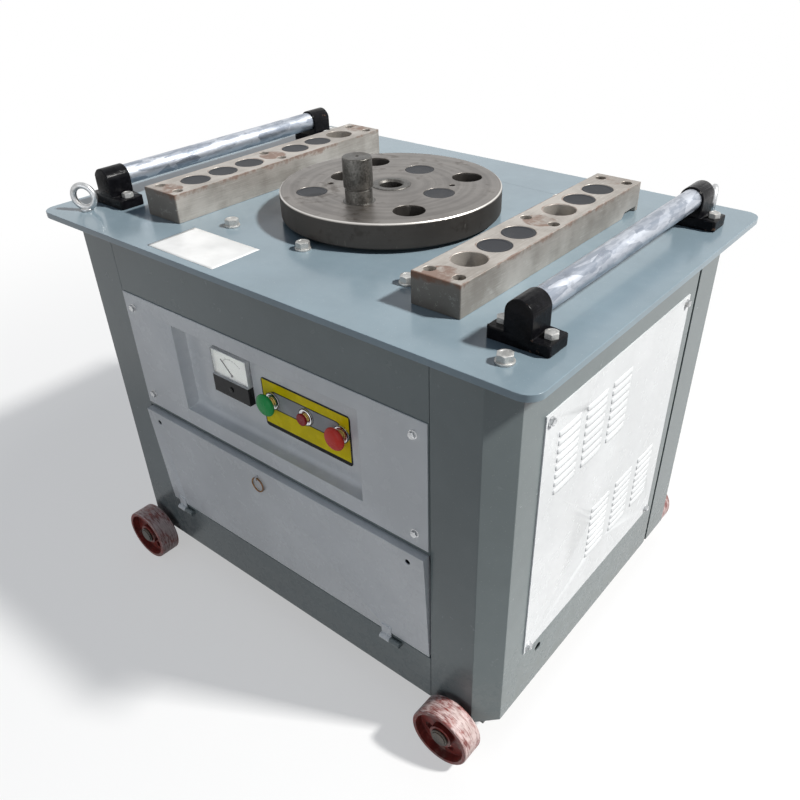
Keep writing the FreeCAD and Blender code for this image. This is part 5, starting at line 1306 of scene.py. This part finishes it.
@dataclass
class FrontDoor:
    """Door that stands a little ajar, with its hinges, staple and pull ring."""

    ring_radius: float = 12.7
    wire: float = 1.3

    def build(self, frame: Frame) -> None:
        """Build the door; the ring's path is a circle that is a little flattened at the top."""
        refine(frame, "front_door", Finish.WHITE, "door", 0.6, 2)
        refine(frame, "door_hinges", Finish.CABINET, "frame", 0.5, 2)
        low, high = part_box("pull_ring")
        middle = (np.array(low) + np.array(high)) / 2 / MM
        angle = np.linspace(0, 2 * np.pi, 96, endpoint=False)
        wobble = 0.15 * np.sin(3 * angle) * (1 - np.sin(angle))
        radius = self.ring_radius + wobble
        path = middle + np.stack([radius * np.cos(angle), 0.0 * angle, radius * np.sin(angle)], axis=-1)
        Shape().sweep(path, self.wire, (0, 1, 0), 18, True).piece(
            "pull_ring_wire", Finish.RUSTY, "pull_ring", "rusty_steel", ["pull_ring"], 60.0
        )


@dataclass
class RunningGear:
    """Four cast wheels on two axles."""

    ends: tuple[str, ...] = ("front", "rear")
    sides: tuple[str, ...] = ("left", "right")

    def build(self, frame: Frame) -> None:
        """Round the castings' edges and dress the axles."""
        for end, side in itertools.product(self.ends, self.sides):
            name = f"{end}_{side}_wheel"
            refine(frame, name, Finish.WHEEL, name, 0.7, 2)
        refine(frame, "wheel_axles", Finish.AXLE, "frame", 0.6, 2)


@dataclass
class DriveTrain:
    """Gearbox, motor, belts and electrics behind the panels, in their CAD shapes."""

    finishes: dict[str, Finish] = field(default_factory=lambda: {
        "gearbox_housing": Finish.GREY_CASTING,
        "gearbox_cover": Finish.GREY_CASTING,
        "gearbox_bearings": Finish.SHAFT,
        "worm_shaft": Finish.SHAFT,
        "large_pulley": Finish.GREY_CASTING,
        "motor_pulley": Finish.GREY_CASTING,
        "v_belts": Finish.RUBBER,
        "motor_body": Finish.MOTOR,
        "motor_rotor": Finish.SHAFT,
        "motor_fan_cover": Finish.MOTOR,
        "motor_terminal_box": Finish.MOTOR,
        "electrical_plate": Finish.ZINC,
        "contactors": Finish.BLACK_PLASTIC,
    })

    def build(self, frame: Frame) -> None:
        """Give each node its finish."""
        for node, finish in self.finishes.items():
            paint_node(frame, node, finish)


# --------------------------------------------------------------------------------- studio
@dataclass
class Studio:
    """Pale floor, soft lamps and the camera."""

    eye: Place = (0.8055, -0.9315, 1.1349)
    azimuth: float = 39.30
    elevation: float = 35.48
    roll: float = -1.045
    lens: float = 35.095
    shift: tuple[float, float] = (-0.0208, 0.0445)

    def build(self) -> None:
        """Set the stage."""
        self.floor()
        self.world()
        self.lamp("key", (7.77, 3.45, 9.17), 1.0, 2080.0, (1.0, 0.985, 0.955))
        self.lamp("front_fill", (0.6, -4.2, 0.9), 2.6, 30.0, (0.94, 0.97, 1.0))
        self.camera()
        bpy.context.scene.view_settings.view_transform = "Standard"

    def floor(self) -> None:
        """Round pale floor that turns into plain white away from the machine."""
        ring = np.array([0.0, 0.8, 1.6, 2.4, 4.0, 9.0])
        turn = np.linspace(0, 2 * np.pi, 64, endpoint=False)
        x, y = np.outer(ring, np.cos(turn)), np.outer(ring, np.sin(turn))
        points = np.stack([x, y, np.zeros_like(x)], axis=-1)
        shape = Shape().grid(points, wrap_v=True)
        mesh = bpy.data.meshes.new("floor")
        mesh.from_pydata(np.vstack(shape.points), [], np.vstack(shape.faces).tolist())
        weld(mesh, MERGE, False)
        floor = bpy.data.objects.new("floor", mesh)
        bpy.context.scene.collection.objects.link(floor)
        g = Graph("floor_paper")
        x, y, z = g.axes()
        far = (x * x + y * y).root().smooth(0.9, 2.4) * 0.55 + 0.45
        pale = g.mix(g.seen(), (0.16, 0.16, 0.16), (0.84, 0.84, 0.84))
        paper = g.node("ShaderNodeBsdfDiffuse", {}, {"Color": pale})
        glow = g.node("ShaderNodeEmission", {}, {"Color": (1.0, 1.0, 1.0), "Strength": 1.0})
        both = g.node("ShaderNodeMixShader", {}, {0: far * g.seen(), 1: paper, 2: glow})
        mesh.materials.append(g.finish(both))

    def world(self) -> None:
        """Surroundings: white where they are looked at, and a dim even light on the machine."""
        g = Graph("studio", True)
        sockets = {0: g.place, 1: (0.40, 0.10, 0.91)}
        lean = g.node("ShaderNodeVectorMath", {"operation": "DOT_PRODUCT"}, sockets, "Value")
        tone = g.mix(lean.smooth(-0.55, 0.95), (0.085, 0.092, 0.100), (0.115, 0.142, 0.185))
        light = g.node("ShaderNodeBackground", {}, {"Color": tone, "Strength": 1.0})
        white = g.node("ShaderNodeBackground", {}, {"Color": (1.0, 1.0, 1.0), "Strength": 1.0})
        both = g.node("ShaderNodeMixShader", {}, {0: g.seen(), 1: light, 2: white})
        bpy.context.scene.world = g.finish(both, "ShaderNodeOutputWorld")

    def lamp(self, name: str, place: Place, size: float, power: float, colour: Colour) -> None:
        """Square soft lamp that faces the middle of the machine."""
        data = bpy.data.lights.new(name, "AREA")
        data.shape = "SQUARE"
        data.size = size
        data.energy = power
        data.color = colour
        lamp = bpy.data.objects.new(name, data)
        lamp.location = place
        aim = Vector((0.0, 0.0, 0.45)) - Vector(place)
        lamp.rotation_euler = aim.to_track_quat("-Z", "Y").to_euler()
        bpy.context.scene.collection.objects.link(lamp)

    def camera(self) -> None:
        """Camera: its forward direction comes from azimuth and elevation, then it rolls about it."""
        az, el, roll = (math.radians(a) for a in (self.azimuth, self.elevation, self.roll))
        forward = Vector((-math.sin(az) * math.cos(el), math.cos(az) * math.cos(el), -math.sin(el)))
        right = Vector((math.cos(az), math.sin(az), 0.0))
        up = right.cross(forward)
        c, s = math.cos(roll), math.sin(roll)
        right, up = right * c + up * s, up * c - right * s
        turn = Matrix((right, up, -forward)).transposed().to_4x4()
        data = bpy.data.cameras.new("camera")
        data.sensor_width = 36.0
        data.lens = self.lens
        data.shift_x, data.shift_y = self.shift
        data.clip_start = 0.05
        camera = bpy.data.objects.new("camera", data)
        camera.matrix_world = Matrix.Translation(Vector(self.eye)) @ turn
        bpy.context.scene.collection.objects.link(camera)
        bpy.context.scene.camera = camera


def main() -> None:
    """Build the bender's looks, sub-assembly by sub-assembly."""
    logging.basicConfig(level=logging.INFO, format="%(message)s")
    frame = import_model()
    parts = (
        TableTop, HoleBars, Rollers, BendingHead, Cabinet, ControlNiche, FrontDoor, RunningGear,
        DriveTrain,
    )
    for part in parts:
        LOG.info("building %s", part.__name__)
        part().build(frame)
    Studio().build()


if __name__ == "__main__":
    main()
